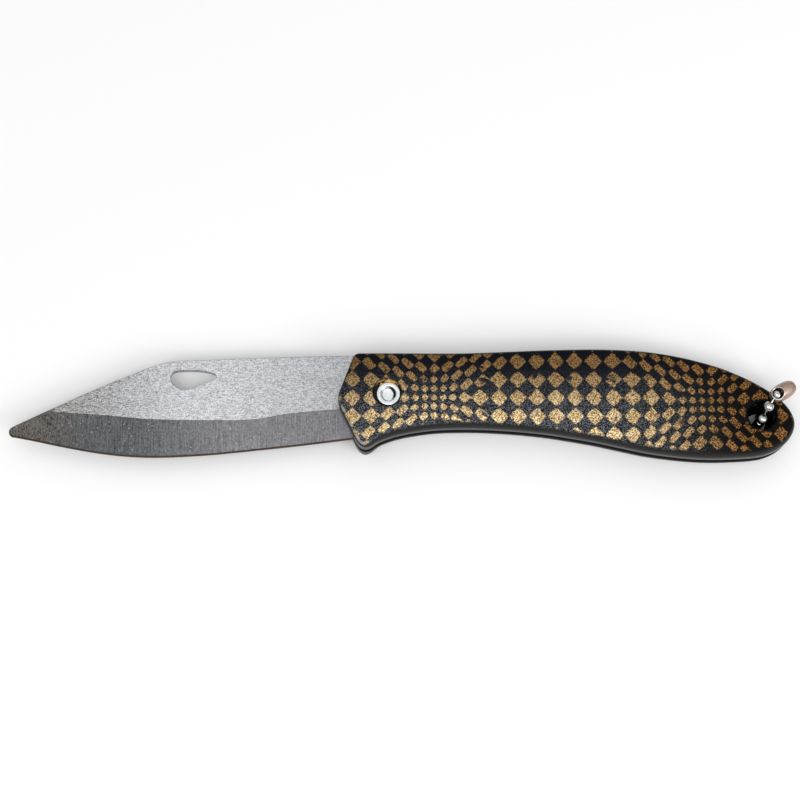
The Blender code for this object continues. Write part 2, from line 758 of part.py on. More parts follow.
def make_handle(plastic, steel):
    outline = handle_outline()
    rest = place_of((0, 0))
    front_mesh = half_mesh("front_handle_half", outline, SLOT_TOP, FRONT_FACE, BELLY_EDGE_RADIUS)
    front = new_object(front_mesh.name, front_mesh, rest, plastic)
    back_mesh = half_mesh("back_handle_half", outline, SLOT_BOTTOM, 0, BACK_BELLY_EDGE_RADIUS)
    back = new_object(back_mesh.name, back_mesh, rest, plastic)
    spacer_bottom = SLOT_BOTTOM + SLIDE_GAP
    spacer_top = SLOT_TOP - SLIDE_GAP
    strip = prism_mesh("spine_spacer", spacer_outline(outline), spacer_bottom, spacer_top)
    spacer = new_object(strip.name, strip, rest, steel)

    bore = SHANK_RADIUS + BORE_GAP
    front_bore = rod_profile(bore, SLOT_TOP - CUT_OVERRUN, FRONT_FACE)
    cut(front, turned_mesh("front_pivot_bore", front_bore), rest)
    front_recess = rod_profile(RECESS_RADIUS, FRONT_FACE - FRONT_RECESS_DEPTH, FRONT_FACE + CUT_OVERRUN)
    cut(front, turned_mesh("front_recess", front_recess), rest + Vector((RECESS_ASIDE, 0, 0)))
    back_bore = [
        (0, -CUT_OVERRUN),
        (RECESS_RADIUS, -CUT_OVERRUN),
        (RECESS_RADIUS, BACK_RECESS_DEPTH),
        (bore, BACK_RECESS_DEPTH),
        (bore, SLOT_BOTTOM + CUT_OVERRUN),
        (0, SLOT_BOTTOM + CUT_OVERRUN),
    ]
    cut(back, turned_mesh("back_pivot_bore", back_bore), rest)

    tail_place = place_of((TAIL_HOLE_REACH, -TAIL_HOLE_DROP))
    flare = TAIL_HOLE_FLARE
    halfway = 1 - math.cos(math.pi / 4)
    front_hole = [
        (0, SLOT_TOP - CUT_OVERRUN),
        (TAIL_HOLE_RADIUS, SLOT_TOP - CUT_OVERRUN),
        (TAIL_HOLE_RADIUS, FRONT_FACE - flare),
        (TAIL_HOLE_RADIUS + flare * halfway, FRONT_FACE - flare * halfway),
        (TAIL_HOLE_SURFACE_RADIUS, FRONT_FACE),
        (TAIL_HOLE_SURFACE_RADIUS, FRONT_FACE + CUT_OVERRUN),
        (0, FRONT_FACE + CUT_OVERRUN),
    ]
    cut(front, turned_mesh("front_tail_hole", front_hole), tail_place)
    back_radius = BACK_TAIL_HOLE_SHARE * TAIL_HOLE_RADIUS
    back_hole = rod_profile(back_radius, -CUT_OVERRUN, SLOT_BOTTOM + CUT_OVERRUN)
    cut(back, turned_mesh("back_tail_hole", back_hole), tail_place)
    relief_place = tail_place + Vector((math.cos(CHAIN_ANGLE), math.sin(CHAIN_ANGLE), 0)) * RELIEF_OFFSET
    relief = [
        (0, -CUT_OVERRUN),
        (RELIEF_RADIUS, -CUT_OVERRUN),
        (RELIEF_RADIUS, RELIEF_DEPTH - RELIEF_ROUND),
        (RELIEF_RADIUS - RELIEF_ROUND, RELIEF_DEPTH),
        (0, RELIEF_DEPTH),
    ]
    cut(back, turned_mesh("chain_relief", relief), relief_place)

    pins = [("stop_pin", STOP_PIN_PLACE, STOP_PIN_RADIUS, PIN_SINK)]
    for name, place in zip(("dowel_front", "dowel_middle", "dowel_tail"), dowel_places(outline)):
        pins.append((name, place, DOWEL_RADIUS, DOWEL_SINK))
        pin_hole(spacer, f"spacer_{name}", place, DOWEL_RADIUS, DOWEL_SINK)
    for name, place, radius, sink in pins:
        profile = rod_profile(radius, SLOT_BOTTOM - sink, SLOT_TOP + sink, PIN_CHAMFER)
        new_object(name, turned_mesh(name, profile, FINE_SEGMENTS), place_of(place), steel)
        pin_hole(front, f"front_{name}", place, radius, sink)
        pin_hole(back, f"back_{name}", place, radius, sink)


def make_pivot(rivet_metal, bronze):
    rest = place_of((0, 0))
    under_head = FRONT_FACE - FRONT_RECESS_DEPTH + SLIDE_GAP
    head_top = under_head + HEAD_THICKNESS
    cap_top = BACK_RECESS_DEPTH - SLIDE_GAP
    cap_bottom = cap_top - CAP_THICKNESS
    rivet = [
        (0, cap_bottom),
        (SHANK_RADIUS, cap_bottom),
        (SHANK_RADIUS, under_head),
        (HEAD_RADIUS, under_head),
        (HEAD_RADIUS, head_top - HEAD_ROUND),
        (HEAD_RADIUS - HEAD_ROUND, head_top),
        (HEAD_HOLLOW_RADIUS, head_top),
        (HEAD_HOLLOW_FLOOR_RADIUS, head_top - HEAD_HOLLOW_DEPTH),
        (0, head_top - HEAD_HOLLOW_DEPTH),
    ]
    new_object("pivot_rivet", turned_mesh("pivot_rivet", rivet), rest, rivet_metal)
    bore = SHANK_RADIUS + BORE_GAP
    cap = [
        (bore, cap_bottom),
        (HEAD_RADIUS - HEAD_ROUND, cap_bottom),
        (HEAD_RADIUS, cap_bottom + HEAD_ROUND),
        (HEAD_RADIUS, cap_top),
        (bore, cap_top),
    ]
    new_object("pivot_cap", turned_mesh("pivot_cap", cap), rest, rivet_metal)
    for name, bottom in (
        ("back_friction_washer", SLOT_BOTTOM + SLIDE_GAP),
        ("front_friction_washer", SLOT_TOP - SLIDE_GAP - WASHER_THICKNESS),
    ):
        top = bottom + WASHER_THICKNESS
        ring = [(bore, bottom), (WASHER_RADIUS, bottom), (WASHER_RADIUS, top), (bore, top)]
        new_object(name, turned_mesh(name, ring), rest, bronze)


def make_blade(steel):
    place = place_of((0, 0), BLADE_MIDDLE)
    blade = new_object("blade", blade_mesh(), place, steel)
    bore = rod_profile(SHANK_RADIUS + BORE_GAP, -BLADE_THICKNESS, BLADE_THICKNESS)
    cut(blade, turned_mesh("blade_pivot_bore", bore), place)
    middle = Vector((-THUMB_HOLE_REACH_SHARE * BLADE_LENGTH, THUMB_HOLE_RISE))
    outline = []
    for along, up in THUMB_HOLE_SHARES:
        outline.append(middle + Vector((along * THUMB_HOLE_LENGTH / 2, up * THUMB_HOLE_HEIGHT / 2)))
    outline = smooth_run(outline, RUN_STEPS, closed=True)
    cut(blade, prism_mesh("thumb_hole", outline, -BLADE_THICKNESS, BLADE_THICKNESS), place)


def main():
    for obj in list(bpy.data.objects):
        bpy.data.objects.remove(obj, do_unlink=True)
    plastic = new_material("printed_plastic", (0.045, 0.048, 0.055), 0.35, 0)
    blade_steel = new_material("blade_steel", (0.42, 0.42, 0.44), 0.42, 1)
    hidden_steel = new_material("plain_steel", (0.33, 0.33, 0.34), 0.4, 1)
    rivet_metal = new_material("nickel_plate", (0.72, 0.73, 0.72), 0.25, 1)
    bronze = new_material("bronze", (0.45, 0.3, 0.13), 0.45, 1)
    chain_metal = new_material("chain_nickel", (0.7, 0.68, 0.66), 0.2, 1)
    make_handle(plastic, hidden_steel)
    make_pivot(rivet_metal, bronze)
    make_blade(blade_steel)
    axis = bpy.data.objects.new("chain_axis", None)
    bpy.context.scene.collection.objects.link(axis)
    axis.location = place_of((TAIL_HOLE_REACH, -TAIL_HOLE_DROP))
    axis.rotation_euler = (0, 0, CHAIN_ANGLE)
    make_chain(chain_metal, axis)


main()
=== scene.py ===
"""The folding camping knife, dressed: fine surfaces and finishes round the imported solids.

+X runs from the blade's tip to the tail, +Y towards the spine, +Z out of the front face.
"""

from math import asin, atan2, cos, pi, radians, sin, sqrt

import bmesh
import bpy
from mathutils import Matrix, Vector


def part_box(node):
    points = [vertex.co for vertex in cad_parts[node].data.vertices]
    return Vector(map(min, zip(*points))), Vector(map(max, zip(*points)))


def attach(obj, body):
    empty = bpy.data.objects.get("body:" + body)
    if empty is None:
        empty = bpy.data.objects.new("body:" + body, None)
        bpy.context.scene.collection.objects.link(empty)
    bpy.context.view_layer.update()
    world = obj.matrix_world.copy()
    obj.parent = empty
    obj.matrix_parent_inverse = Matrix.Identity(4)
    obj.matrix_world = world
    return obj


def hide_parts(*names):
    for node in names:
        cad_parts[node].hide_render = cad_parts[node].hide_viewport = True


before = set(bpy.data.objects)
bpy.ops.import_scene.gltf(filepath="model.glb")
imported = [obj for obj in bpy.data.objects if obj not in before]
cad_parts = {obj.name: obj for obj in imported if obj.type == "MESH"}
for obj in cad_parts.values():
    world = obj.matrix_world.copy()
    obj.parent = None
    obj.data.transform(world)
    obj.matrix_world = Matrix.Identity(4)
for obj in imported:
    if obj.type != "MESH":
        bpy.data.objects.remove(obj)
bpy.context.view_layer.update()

MM = 0.001

# Places that the solids share
PIVOT = Vector((-2.95, 2.6, 0)) * MM
TAIL_HOLE = Vector((90.15, -3.6, 0)) * MM
SLOT_BOTTOM = 4.4 * MM
SLOT_TOP = 7.0 * MM
FRONT_FACE = 11.4 * MM
BLADE_MIDDLE = 5.7 * MM

# Handle, measured from the pivot's axis
HANDLE_AFT = 101.5 * MM
HANDLE_FORE = 12.6 * MM
HANDLE_RISE = 11.4 * MM
HANDLE_DROP = 16.6 * MM
BELLY_EDGE_RADIUS = 2.9 * MM
BACK_BELLY_EDGE_RADIUS = 4.2 * MM
SPINE_EDGE_RADIUS = 1.7 * MM
NOSE_EDGE_RADIUS = 1.3 * MM
TAIL_EDGE_RADIUS = 2.2 * MM
SLOT_EDGE_RADIUS = 0.25 * MM
TOP_CORNER_SETBACK = 1.5 * MM
NOSE_CORNER_SETBACK = 2.8 * MM
GUARD_CORNER_SETBACK = 4.4 * MM
EDGE_CURVE_SHARE = 0.85
OUTLINE_SHARES = (
    (-0.68, 0.912), (0.03, 0.912), (0.191, 0.912), (0.383, 0.978), (0.501, 1.0), (0.59, 0.978),
    (0.659, 0.921), (0.738, 0.789), (0.817, 0.588), (0.876, 0.368), (0.915, 0.184), (0.955, -0.033),
    (0.977, -0.16), (0.993, -0.301), (1.0, -0.458), (0.994, -0.614), (0.978, -0.753),
    (0.955, -0.861), (0.928, -0.934), (0.903, -0.967), (0.873, -0.985), (0.808, -1.0),
    (0.752, -0.991), (0.692, -0.955), (0.632, -0.901), (0.57, -0.819), (0.51, -0.738),
    (0.45, -0.672), (0.39, -0.614), (0.315, -0.566), (0.23, -0.536), (0.149, -0.535),
    (0.089, -0.563), (0.029, -0.627), (-0.095, -0.705), (-0.254, -0.765),
)
GUARD_SHARES = (-0.512, -0.944)
NOSE_SHARES = (-1.045, -0.115)

# Blade, measured from the pivot's axis
BLADE_LENGTH = 95.6 * MM
BLADE_RISE = 10.9 * MM
BLADE_DROP = 15.7 * MM
BLADE_THICKNESS = 1.8 * MM
EDGE_THICKNESS = 0.3 * MM
KEEN_THICKNESS = 0.05 * MM
KEEN_WIDTH = 0.5 * MM
BACK_ROUND = 0.2 * MM
TIP_RADIUS = 1.4 * MM
TIP_DROP = 9.1 * MM
HEEL_REACH = 8.5 * MM
HEEL_DROP = 10.4 * MM
TANG_RADIUS = 6.6 * MM
STOP_PIN_REACH = 9.0 * MM
STOP_PIN_ANGLE = radians(60)
STOP_PIN_CLEAR = 1.65 * MM
CLOSED_ANGLE = radians(167)
GRIND_TOP_SHARE = 0.92
BACK_LINE_SHARES = (
    (0.987, -0.484), (0.898, -0.229), (0.77, 0.202), (0.655, 0.63), (0.612, 0.776), (0.572, 0.856),
    (0.5, 0.882), (0.3, 0.946), (0.096, 0.985), (0.0, 0.94),
)
EDGE_LINE_SHARES = (
    (0.987, -0.666), (0.941, -0.718), (0.857, -0.826), (0.772, -0.922), (0.687, -0.983),
    (0.603, -1.0), (0.476, -0.962), (0.35, -0.886), (0.223, -0.8), (0.096, -0.702), (0.0, -0.62),
)
GRIND_LINE_SHARES = (
    (1.0, -0.2), (0.893, -0.248), (0.756, -0.306), (0.622, -0.376), (0.453, -0.389),
    (0.353, -0.376), (0.27, -0.287), (0.149, -0.217), (0.0, -0.16),
)
THUMB_HOLE_LENGTH = 11.6 * MM
THUMB_HOLE_HEIGHT = 5.2 * MM
THUMB_HOLE_REACH = 49.5 * MM
THUMB_HOLE_RISE = 4.3 * MM
THUMB_HOLE_CHAMFER = 0.12 * MM
THUMB_HOLE_SHARES = (
    (-1.0, 0.27), (-0.95, -0.15), (-0.77, -0.66), (-0.47, -0.97), (-0.17, -0.91), (0.23, -0.58),
    (0.71, -0.19), (0.95, 0.08), (1.0, 0.42), (0.8, 0.74), (0.36, 0.94), (-0.2, 1.0), (-0.72, 0.93),
    (-0.92, 0.72),
)

# Pivot
SHANK_RADIUS = 2.0 * MM
HEAD_RADIUS = 3.03 * MM
HEAD_BOTTOM = 8.3 * MM
HEAD_TOP = 9.5 * MM
HOLLOW_RADIUS = 1.95 * MM
HOLLOW_FLOOR_RADIUS = 1.6 * MM
HOLLOW_DEPTH = 1.3 * MM
RECESS_RADIUS = 3.7 * MM
RECESS_ASIDE = -0.35 * MM
RECESS_FLOOR = 8.2 * MM
BACK_RECESS_FLOOR = 1.8 * MM
CAP_BOTTOM = 0.5 * MM
CAP_TOP = 1.7 * MM
SHANK_BORE = 2.12 * MM
RIM_ROUND = 0.25 * MM

# Tail hole
TAIL_HOLE_RADIUS = 3.4 * MM
TAIL_HOLE_FLARE = 0.5 * MM
BACK_TAIL_HOLE_RADIUS = 2.38 * MM
RELIEF_DEPTH = 3.2 * MM
RELIEF_RADIUS = 9.0 * MM
RELIEF_OFFSET = 5.2 * MM
RELIEF_ROUND = 0.6 * MM

# Chain
CHAIN_ANGLE = radians(54)
BEAD_RADIUS = 1.4 * MM
BEAD_COUNT = 11
WIRE_RADIUS = 0.25 * MM
BEAD_LIP_RADIUS = 1.9 * WIRE_RADIUS
BEAD_HOLE_RADIUS = 1.15 * WIRE_RADIUS
BEAD_RIM_RADIUS = 1.1 * BEAD_HOLE_RADIUS
BEAD_LIP_DEPTH = 0.82 * BEAD_RADIUS
COUPLING_LENGTH = 7.0 * MM
COUPLING_RADIUS = 2.1 * MM
COUPLING_WALL = 0.25 * MM
COUPLING_FULLNESS_SHARE = 0.65
COUPLING_MOUTH_RADIUS = 1.5 * MM
COUPLING_LIP_RADIUS = 0.17 * MM
COUPLING_SLOT_HALF_WIDTH = 0.5 * MM
COUPLING_SLOT_DROP = 1.0 * MM
COUPLING_TURN = radians(-24)
OVERRUN = 1.0 * MM

# Facets
RUN_STEPS = 10
CORNER_STEPS = 16
EDGE_STEPS = 10
SLOT_EDGE_STEPS = 2
EDGE_SMOOTH_PASSES = 60
PROFILE_STEPS = 5
RECESS_STEPS = 5
TAIL_HOLE_STEPS = 8
RELIEF_STEPS = 6
TIP_STEPS = 10
BLADE_STATIONS = 180
GRIND_STRIPS = 4
ROUND_SEGMENTS = 96
FINE_SEGMENTS = 48
BEAD_SEGMENTS = 28
BEAD_STEPS = 16
TUBE_SEGMENTS = 16
WIRE_SEGMENTS = 12
LARGEST_ROUND_SHARE = 0.45
SHARP_DEGREES = 32
BLADE_SHARP_DEGREES = 1.2
CHAIN_SHARP_DEGREES = 50

# The blade's materials, from its back to its edge
FLAT, GROUND, KEEN = range(3)
STRIP_MATERIALS = (*[FLAT] * 3, *[GROUND] * GRIND_STRIPS, KEEN)

# Print: places in metres, ranges from where an effect starts to where it is full
CHECK_MIDDLE = (0.0424, 0.0004, 0.0)
CHECK_PHASE = (0.1, 0.35, 0.0)
RAGGED_EDGE = 0.8 * MM
PRINT_BLOTCH = 3.0 * MM
FADE_BLOTCH = 1.2 * MM
PRINT_BUMP = 0.03 * MM
PRINT_FROM_HOLE = (0.0055, 0.0062)
FADE_DROP = (0.00025, 0.0007)
FACE_DROP = (0.0003, 0.0012)
FACE_FROM_HOLE = (0.0038, 0.0041)
COAT_FROM_HOLE = (0.005, 0.006)
DEEP_FROM_HOLE = (0.0065, 0.0055)
DEEP_DROP = (0.003, 0.004)
# Painted light: the face's tones turn from darker high on it to paler low on it over this range
PAINTED_LIGHT_LOW_FACE = (0.011, -0.006)
TAIL_FACE = (0.05, 0.086)
NOSE_FACE = (0.004, -0.012)
NOSE_SHADE = 0.16
WALL_DROP = (0.0012, 0.0015)
WALL_REACH = (0.0058, 0.0052)
# Painted highlight along the nose's lower front edge: where it runs, and its grey
EDGE_HIGHLIGHT_FORE = (-0.0095, -0.012)
EDGE_HIGHLIGHT_LOW = (0.001, -0.002)
EDGE_HIGHLIGHT_START = (0.00005, 0.00025)
EDGE_HIGHLIGHT_END = (0.0008, 0.0004)
# The print on the recess's upper wall, brightened as a painted highlight
WALL_GOLD_HIGHLIGHT = (1.0, 0.66, 0.27)
# Painted shade inside the tail hole, and the side walls' black made paler as a painted sheen
HOLE_SHADE_BLACK = (0.0008, 0.0008, 0.001)
SIDE_BLACK_AND_SHEEN = (0.015, 0.0145, 0.014)
EDGE_HIGHLIGHT_GREY = (0.34, 0.33, 0.31)
PRINT_TONES = {  # high on the face, low on it, and at the tail; paler low on the face as painted light, with its specks there a painted sparkle
    "gold": ((0.16, 0.088, 0.03), (0.56, 0.37, 0.155), (0.1, 0.043, 0.01)),
    "dark_gold": ((0.04, 0.018, 0.006), (0.12, 0.055, 0.016), (0.012, 0.005, 0.002)),
    "bright_gold": ((0.27, 0.16, 0.062), (1.0, 0.82, 0.5), (0.32, 0.16, 0.05)),
    "black": ((0.002, 0.003, 0.006), (0.011, 0.012, 0.015), (0.0025, 0.0023, 0.002)),
    "speck": ((0.004, 0.005, 0.009), (0.17, 0.175, 0.185), (0.004, 0.0035, 0.003)),
}

# Metals
FLAT_TIP = (-0.05, -0.086)
FLAT_TANG = (-0.05, -0.015)
FLAT_END = (-0.0862, -0.0892)
FLAT_END_TONE = (0.1, 0.09, 0.083)
FLAT_TONES = (  # pale and deep: in the middle, at the tip and at the tang
    ((0.78, 0.785, 0.815), (0.53, 0.53, 0.525), (0.63, 0.645, 0.665)),
    ((0.35, 0.355, 0.375), (0.1, 0.098, 0.094), (0.28, 0.29, 0.3)),
)
FLAT_BUMP = 0.02 * MM
GROUND_FORE = (-0.042, -0.072)
GROUND_TIP = (-0.074, -0.092)
GROUND_TONES = (  # pale and deep: aft, forward and at the tip
    ((0.245, 0.245, 0.258), (0.146, 0.153, 0.16), (0.15, 0.137, 0.127)),
    ((0.1, 0.1, 0.108), (0.036, 0.039, 0.043), (0.026, 0.023, 0.021)),
)
GROUND_BUMP = 0.012 * MM
SPARK_TONE = (0.42, 0.41, 0.4)
KEEN_TONES = ((0.014, 0.0095, 0.0075), (0.045, 0.032, 0.026))
METAL_GRAIN = 1800.0
METAL_BUMP = 0.008 * MM
# Painted shade on one side of the rivet's hollow: the offset of its crescent and its dark tone
PAINTED_SHADE_ASIDE = Vector((-0.3, 0.1, 0)) * MM
PAINTED_SHADE_TONE = (0.02, 0.022, 0.025)

PLAIN_METALS = {  # name, colour, dark colour and roughness
    "chain": ("chain_bright_nickel", (0.66, 0.655, 0.65), (0.4, 0.395, 0.39), 0.12),
    "coupling": ("coupling_brushed_nickel", (0.5, 0.37, 0.3), (0.42, 0.31, 0.25), 0.5),
    "hidden": ("spacer_steel", (0.3, 0.3, 0.31), (0.2, 0.2, 0.2), 0.45),
    "bronze": ("washer_bronze", (0.5, 0.32, 0.14), (0.36, 0.22, 0.09), 0.4),
}
SOLIDS_SHOWN = {
    "hidden": ("spine_spacer", "stop_pin", "dowel_front", "dowel_middle", "dowel_tail"),
    "bronze": ("front_friction_washer", "back_friction_washer"),
}

# Stage
VIEW_HEIGHT = radians(75)
VIEW_DISTANCE = 420 * MM
PIXEL = 0.25 * MM  # at the front face
SENSOR = 36.0
FRAME_WIDTH = 800
PIVOT_PIXEL = (388.5, 391.5)
CLIP_START = 10 * MM
FLOOR_REACH = 3.0
PAPER_TONE = (0.9, 0.9, 0.9)
PAPER_ROUGHNESS = 0.9
SKY_HEIGHTS = (0.1, 0.95)
SKY_STRENGTHS = (0.25, 0.9)
SOFTBOXES = (  # name, place, size and power, each turned to the origin
    ("overhead_softbox", (-0.1, -0.45, 1.1), (0.9, 0.6), 5.0),
    ("right_softbox", (0.7, -0.5, 0.6), (0.4, 0.4), 3.0),
)


# Curves


def between(start, end, steps):
    """The values from a start to an end in equal steps."""
    return [start + (end - start) * step / steps for step in range(steps + 1)]


def circle(count):
    """Each cosine and sine at equal steps round a full turn."""
    return [(cos(angle), sin(angle)) for angle in between(0, 2 * pi, count)[:-1]]


def table_value(table, place):
    """The table's value at a place, on a smooth curve through its rows."""
    rows = sorted(table)
    place = min(max(place, rows[0][0]), rows[-1][0])
    index = 0
    while index < len(rows) - 2 and place > rows[index + 1][0]:
        index += 1
    (x0, y0), (x1, y1) = rows[index], rows[index + 1]

    def slope(i):
        low = rows[max(i - 1, 0)]
        high = rows[min(i + 1, len(rows) - 1)]
        return (high[1] - low[1]) / (high[0] - low[0])

    span = x1 - x0
    t = (place - x0) / span
    start = y0 * (1 + 2 * t) * (1 - t) ** 2 + slope(index) * span * t * (1 - t) ** 2
    return start + y1 * t * t * (3 - 2 * t) - slope(index + 1) * span * t * t * (1 - t)


def smooth_run(points, closed=False):
    """Points along a curve through the given ones."""
    count = len(points)
    found = []
    for i in range(count if closed else count - 1):
        p1 = points[i]
        p2 = points[(i + 1) % count]
        p0 = points[i - 1] if i or closed else p1
        p3 = points[(i + 2) % count] if closed or i + 2 < count else p2
        for t in between(0, 1, RUN_STEPS)[:-1]:
            square = (2 * p0 - 5 * p1 + 4 * p2 - p3) * t * t
            cube = (3 * p1 - p0 - 3 * p2 + p3) * t**3
            found.append((2 * p1 + (p2 - p0) * t + square + cube) / 2)
    if not closed:
        found.append(points[-1])
    return found


def corner_run(before, corner, after, setback, steps=CORNER_STEPS):
    """A curve that rounds the corner, leaving each side at the setback."""
    start = corner + (before - corner).normalized() * setback
    end = corner + (after - corner).normalized() * setback
    return [start * (1 - t) ** 2 + corner * 2 * t * (1 - t) + end * t * t for t in between(0, 1, steps)]


def outward_normals(outline):
    """Unit normals of a clockwise outline, pointing out of it."""
    ways = [after - before for after, before in zip(outline[1:] + outline[:1], outline[-1:] + outline[:-1])]
    return [Vector((-along.y, along.x)).normalized() for along in ways]


# Meshes


def closed_mesh(name, points, faces):
    """A mesh with its faces turned outwards."""
    mesh = bpy.data.meshes.new(name)
    mesh.from_pydata([tuple(p) for p in points], [], faces)
    shape = bmesh.new()
    shape.from_mesh(mesh)
    bmesh.ops.recalc_face_normals(shape, faces=shape.faces)
    shape.to_mesh(mesh)
    shape.free()
    return mesh


def ring_mesh(name, rings, looped=False):
    """A mesh through rings of points, closed by a flat face at each end or looped."""
    count = len(rings[0])
    points = [p for ring in rings for p in ring]
    faces = [] if looped else [list(range(count)), list(range(len(points) - count, len(points)))]
    for level in range(len(rings) if looped else len(rings) - 1):
        low = level * count
        high = (level + 1) % len(rings) * count
        for i in range(count):
            j = (i + 1) % count
            faces.append((low + i, low + j, high + j, high + i))
    return closed_mesh(name, points, faces)


def turned_mesh(name, profile, place=(0, 0, 0), segments=ROUND_SEGMENTS):
    """A profile of (radius, height) turned about +Z at a place."""
    place = Vector(place)
    points = []
    rows = []
    for radius, height in profile:
        spots = circle(segments) if radius > 0 else [(0, 0)]
        rows.append([len(points) + i for i in range(len(spots))])
        points += [place + Vector((radius * cosine, radius * sine, height)) for cosine, sine in spots]
    if profile[0][0] > 0:
        rows.append(rows[0])
    faces = []
    for low, high in zip(rows, rows[1:]):
        for i in range(segments):
            j = (i + 1) % segments
            corners = [low[i % len(low)], low[j % len(low)], high[j % len(high)], high[i % len(high)]]
            faces.append(list(dict.fromkeys(corners)))
    return closed_mesh(name, points, faces)


def rounded_profile(profile, radius):
    """The profile with a round at each corner that isn't on the axis."""
    points = [Vector(p) for p in profile]
    looped = points[0].x > 0
    count = len(points)
    found = []
    for i, point in enumerate(points):
        if not looped and i in (0, count - 1):
            found.append(tuple(point))
            continue
        before = points[i - 1]
        after = points[(i + 1) % count]
        shorter = min((before - point).length, (after - point).length)
        setback = min(radius, shorter * LARGEST_ROUND_SHARE)
        found += [tuple(p) for p in corner_run(before, point, after, setback, PROFILE_STEPS)]
    return found


def bore_profile(radius, bottom, top):
    """The profile of a plain round hole."""
    return [(0, bottom), (radius, bottom), (radius, top), (0, top)]


def flared_profile(radius, bottom, flare, steps):
    """The profile of a hole whose rim is rounded over at the front face."""
    top = FRONT_FACE + OVERRUN
    found = [(0, bottom), (radius, bottom)]
    for angle in between(0, pi / 2, steps):
        found.append((radius + flare * (1 - cos(angle)), FRONT_FACE - flare * (1 - sin(angle))))
    return [*found, (radius + flare, top), (0, top)]


def tube_mesh(name, path, radius):
    """A round wire along a closed path."""
    rings = []
    for i, point in enumerate(path):
        along = (path[(i + 1) % len(path)] - path[i - 1]).normalized()
        side = along.cross(Vector((0, 0, 1))).normalized()
        up = side.cross(along)
        rings.append([point + (side * cosine + up * sine) * radius for cosine, sine in circle(TUBE_SEGMENTS)])
    return ring_mesh(name, rings, looped=True)


def new_object(data, place=(0, 0, 0), back=None):
    """An object at a place, with its back turned one way."""
    made = bpy.data.objects.new(data.name, data)
    made.location = place
    if back is not None:
        made.rotation_mode = "QUATERNION"
        made.rotation_quaternion = back.to_track_quat("Z", "Y")
    bpy.context.scene.collection.objects.link(made)
    return made


def plain_copy(obj):
    """The object's mesh with its modifiers worked in."""
    depsgraph = bpy.context.evaluated_depsgraph_get()
    return bpy.data.meshes.new_from_object(obj.evaluated_get(depsgraph))


def carved(mesh, cutters):
    """The mesh with the cutters taken out of it."""
    body = new_object(mesh)
    helpers = [new_object(cutter) for cutter in cutters]
    for helper in helpers:
        cut = body.modifiers.new(helper.name, "BOOLEAN")
        cut.operation = "DIFFERENCE"
        cut.solver = "EXACT"
        cut.object = helper
    result = plain_copy(body)
    for helper in [body, *helpers]:
        bpy.data.objects.remove(helper)
    return result


def piece(name, mesh, body, materials, nodes=(), sharp=SHARP_DEGREES):
    """A finished piece that rides on a body and may stand for CAD nodes."""
    made = new_object(mesh)
    made.name = name
    for material in materials:
        if material.name not in mesh.materials:
            mesh.materials.append(material)
    mesh.shade_smooth()
    mesh.set_sharp_from_angle(angle=radians(sharp))
    even = made.modifiers.new("even_shading", "WEIGHTED_NORMAL")
    even.keep_sharp = True
    made.data = plain_copy(made)
    made.modifiers.clear()
    made.data.name = name
    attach(made, body)
    if nodes:
        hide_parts(*nodes)


# Shader helpers


def fill(tree, socket, value):
    """Joins a socket to another one, or sets its value."""
    if isinstance(value, bpy.types.NodeSocket):
        tree.links.new(value, socket)
    elif socket.type == "RGBA":
        socket.default_value = (*value, 1.0)
    else:
        socket.default_value = value


def add(tree, kind, inputs=None, **settings):
    """The outputs of a new node with its settings and its inputs."""
    made = tree.nodes.new(kind)
    for name, value in settings.items():
        setattr(made, name, value)
    for key, value in (inputs or {}).items():
        fill(tree, made.inputs[key], value)
    return made.outputs


def maths(tree, operation, first, second=0.0, third=0.0):
    """The output of a Math node."""
    return add(tree, "ShaderNodeMath", {0: first, 1: second, 2: third}, operation=operation)[0]


def product(tree, first, *others):
    """Several values multiplied."""
    for other in others:
        first = maths(tree, "MULTIPLY", first, other)
    return first


def blended(tree, share, first, second):
    """Two values mixed by a fixed share of the second."""
    return maths(tree, "MULTIPLY_ADD", first, 1 - share, product(tree, second, share))


def vectors(tree, operation, *values, output=0):
    """An output of a Vector Math node."""
    return add(tree, "ShaderNodeVectorMath", dict(enumerate(values)), operation=operation)[output]


def ranged(tree, value, low, high, out_low=0.0, out_high=1.0, smooth=True):
    """The value brought from one range into another and held there."""
    kind = "SMOOTHSTEP" if smooth else "LINEAR"
    inputs = {"Value": value, "From Min": low, "From Max": high, "To Min": out_low, "To Max": out_high}
    return add(tree, "ShaderNodeMapRange", inputs, interpolation_type=kind, clamp=True)[0]


def within(tree, *places):
    """How far each value is in its range, all multiplied."""
    return product(tree, *[ranged(tree, *place) for place in places])


def mixed(tree, share, first, second):
    """Two colours mixed."""
    return add(tree, "ShaderNodeMix", {0: share, 6: first, 7: second}, data_type="RGBA")[2]


def layered(tree, base, *layers):
    """A colour with others laid over it, each by its share."""
    for share, colour in layers:
        base = mixed(tree, share, base, colour)
    return base


def toned(tree, tone, limits, tones, *shares):
    """A colour from deep to pale by a tone, both changed by shares."""
    pale, deep = [layered(tree, row[0], *zip(shares, row[1:])) for row in tones]
    return mixed(tree, ranged(tree, tone, *limits, smooth=False), deep, pale)


def noise(tree, vector, scale, detail=2.0, roughness=0.5, output="Fac"):
    """A noise texture's output."""
    inputs = {"Vector": vector, "Scale": scale, "Detail": detail, "Roughness": roughness}
    return add(tree, "ShaderNodeTexNoise", inputs)[output]


def split(tree, vector):
    """A vector's three parts."""
    return add(tree, "ShaderNodeSeparateXYZ", {0: vector})


def flat_distance(tree, parts, spot):
    """The distance from a spot in the plan view."""
    flat = add(tree, "ShaderNodeCombineXYZ", {0: parts[0], 1: parts[1]})[0]
    return vectors(tree, "DISTANCE", flat, (spot[0], spot[1], 0.0), output=1)


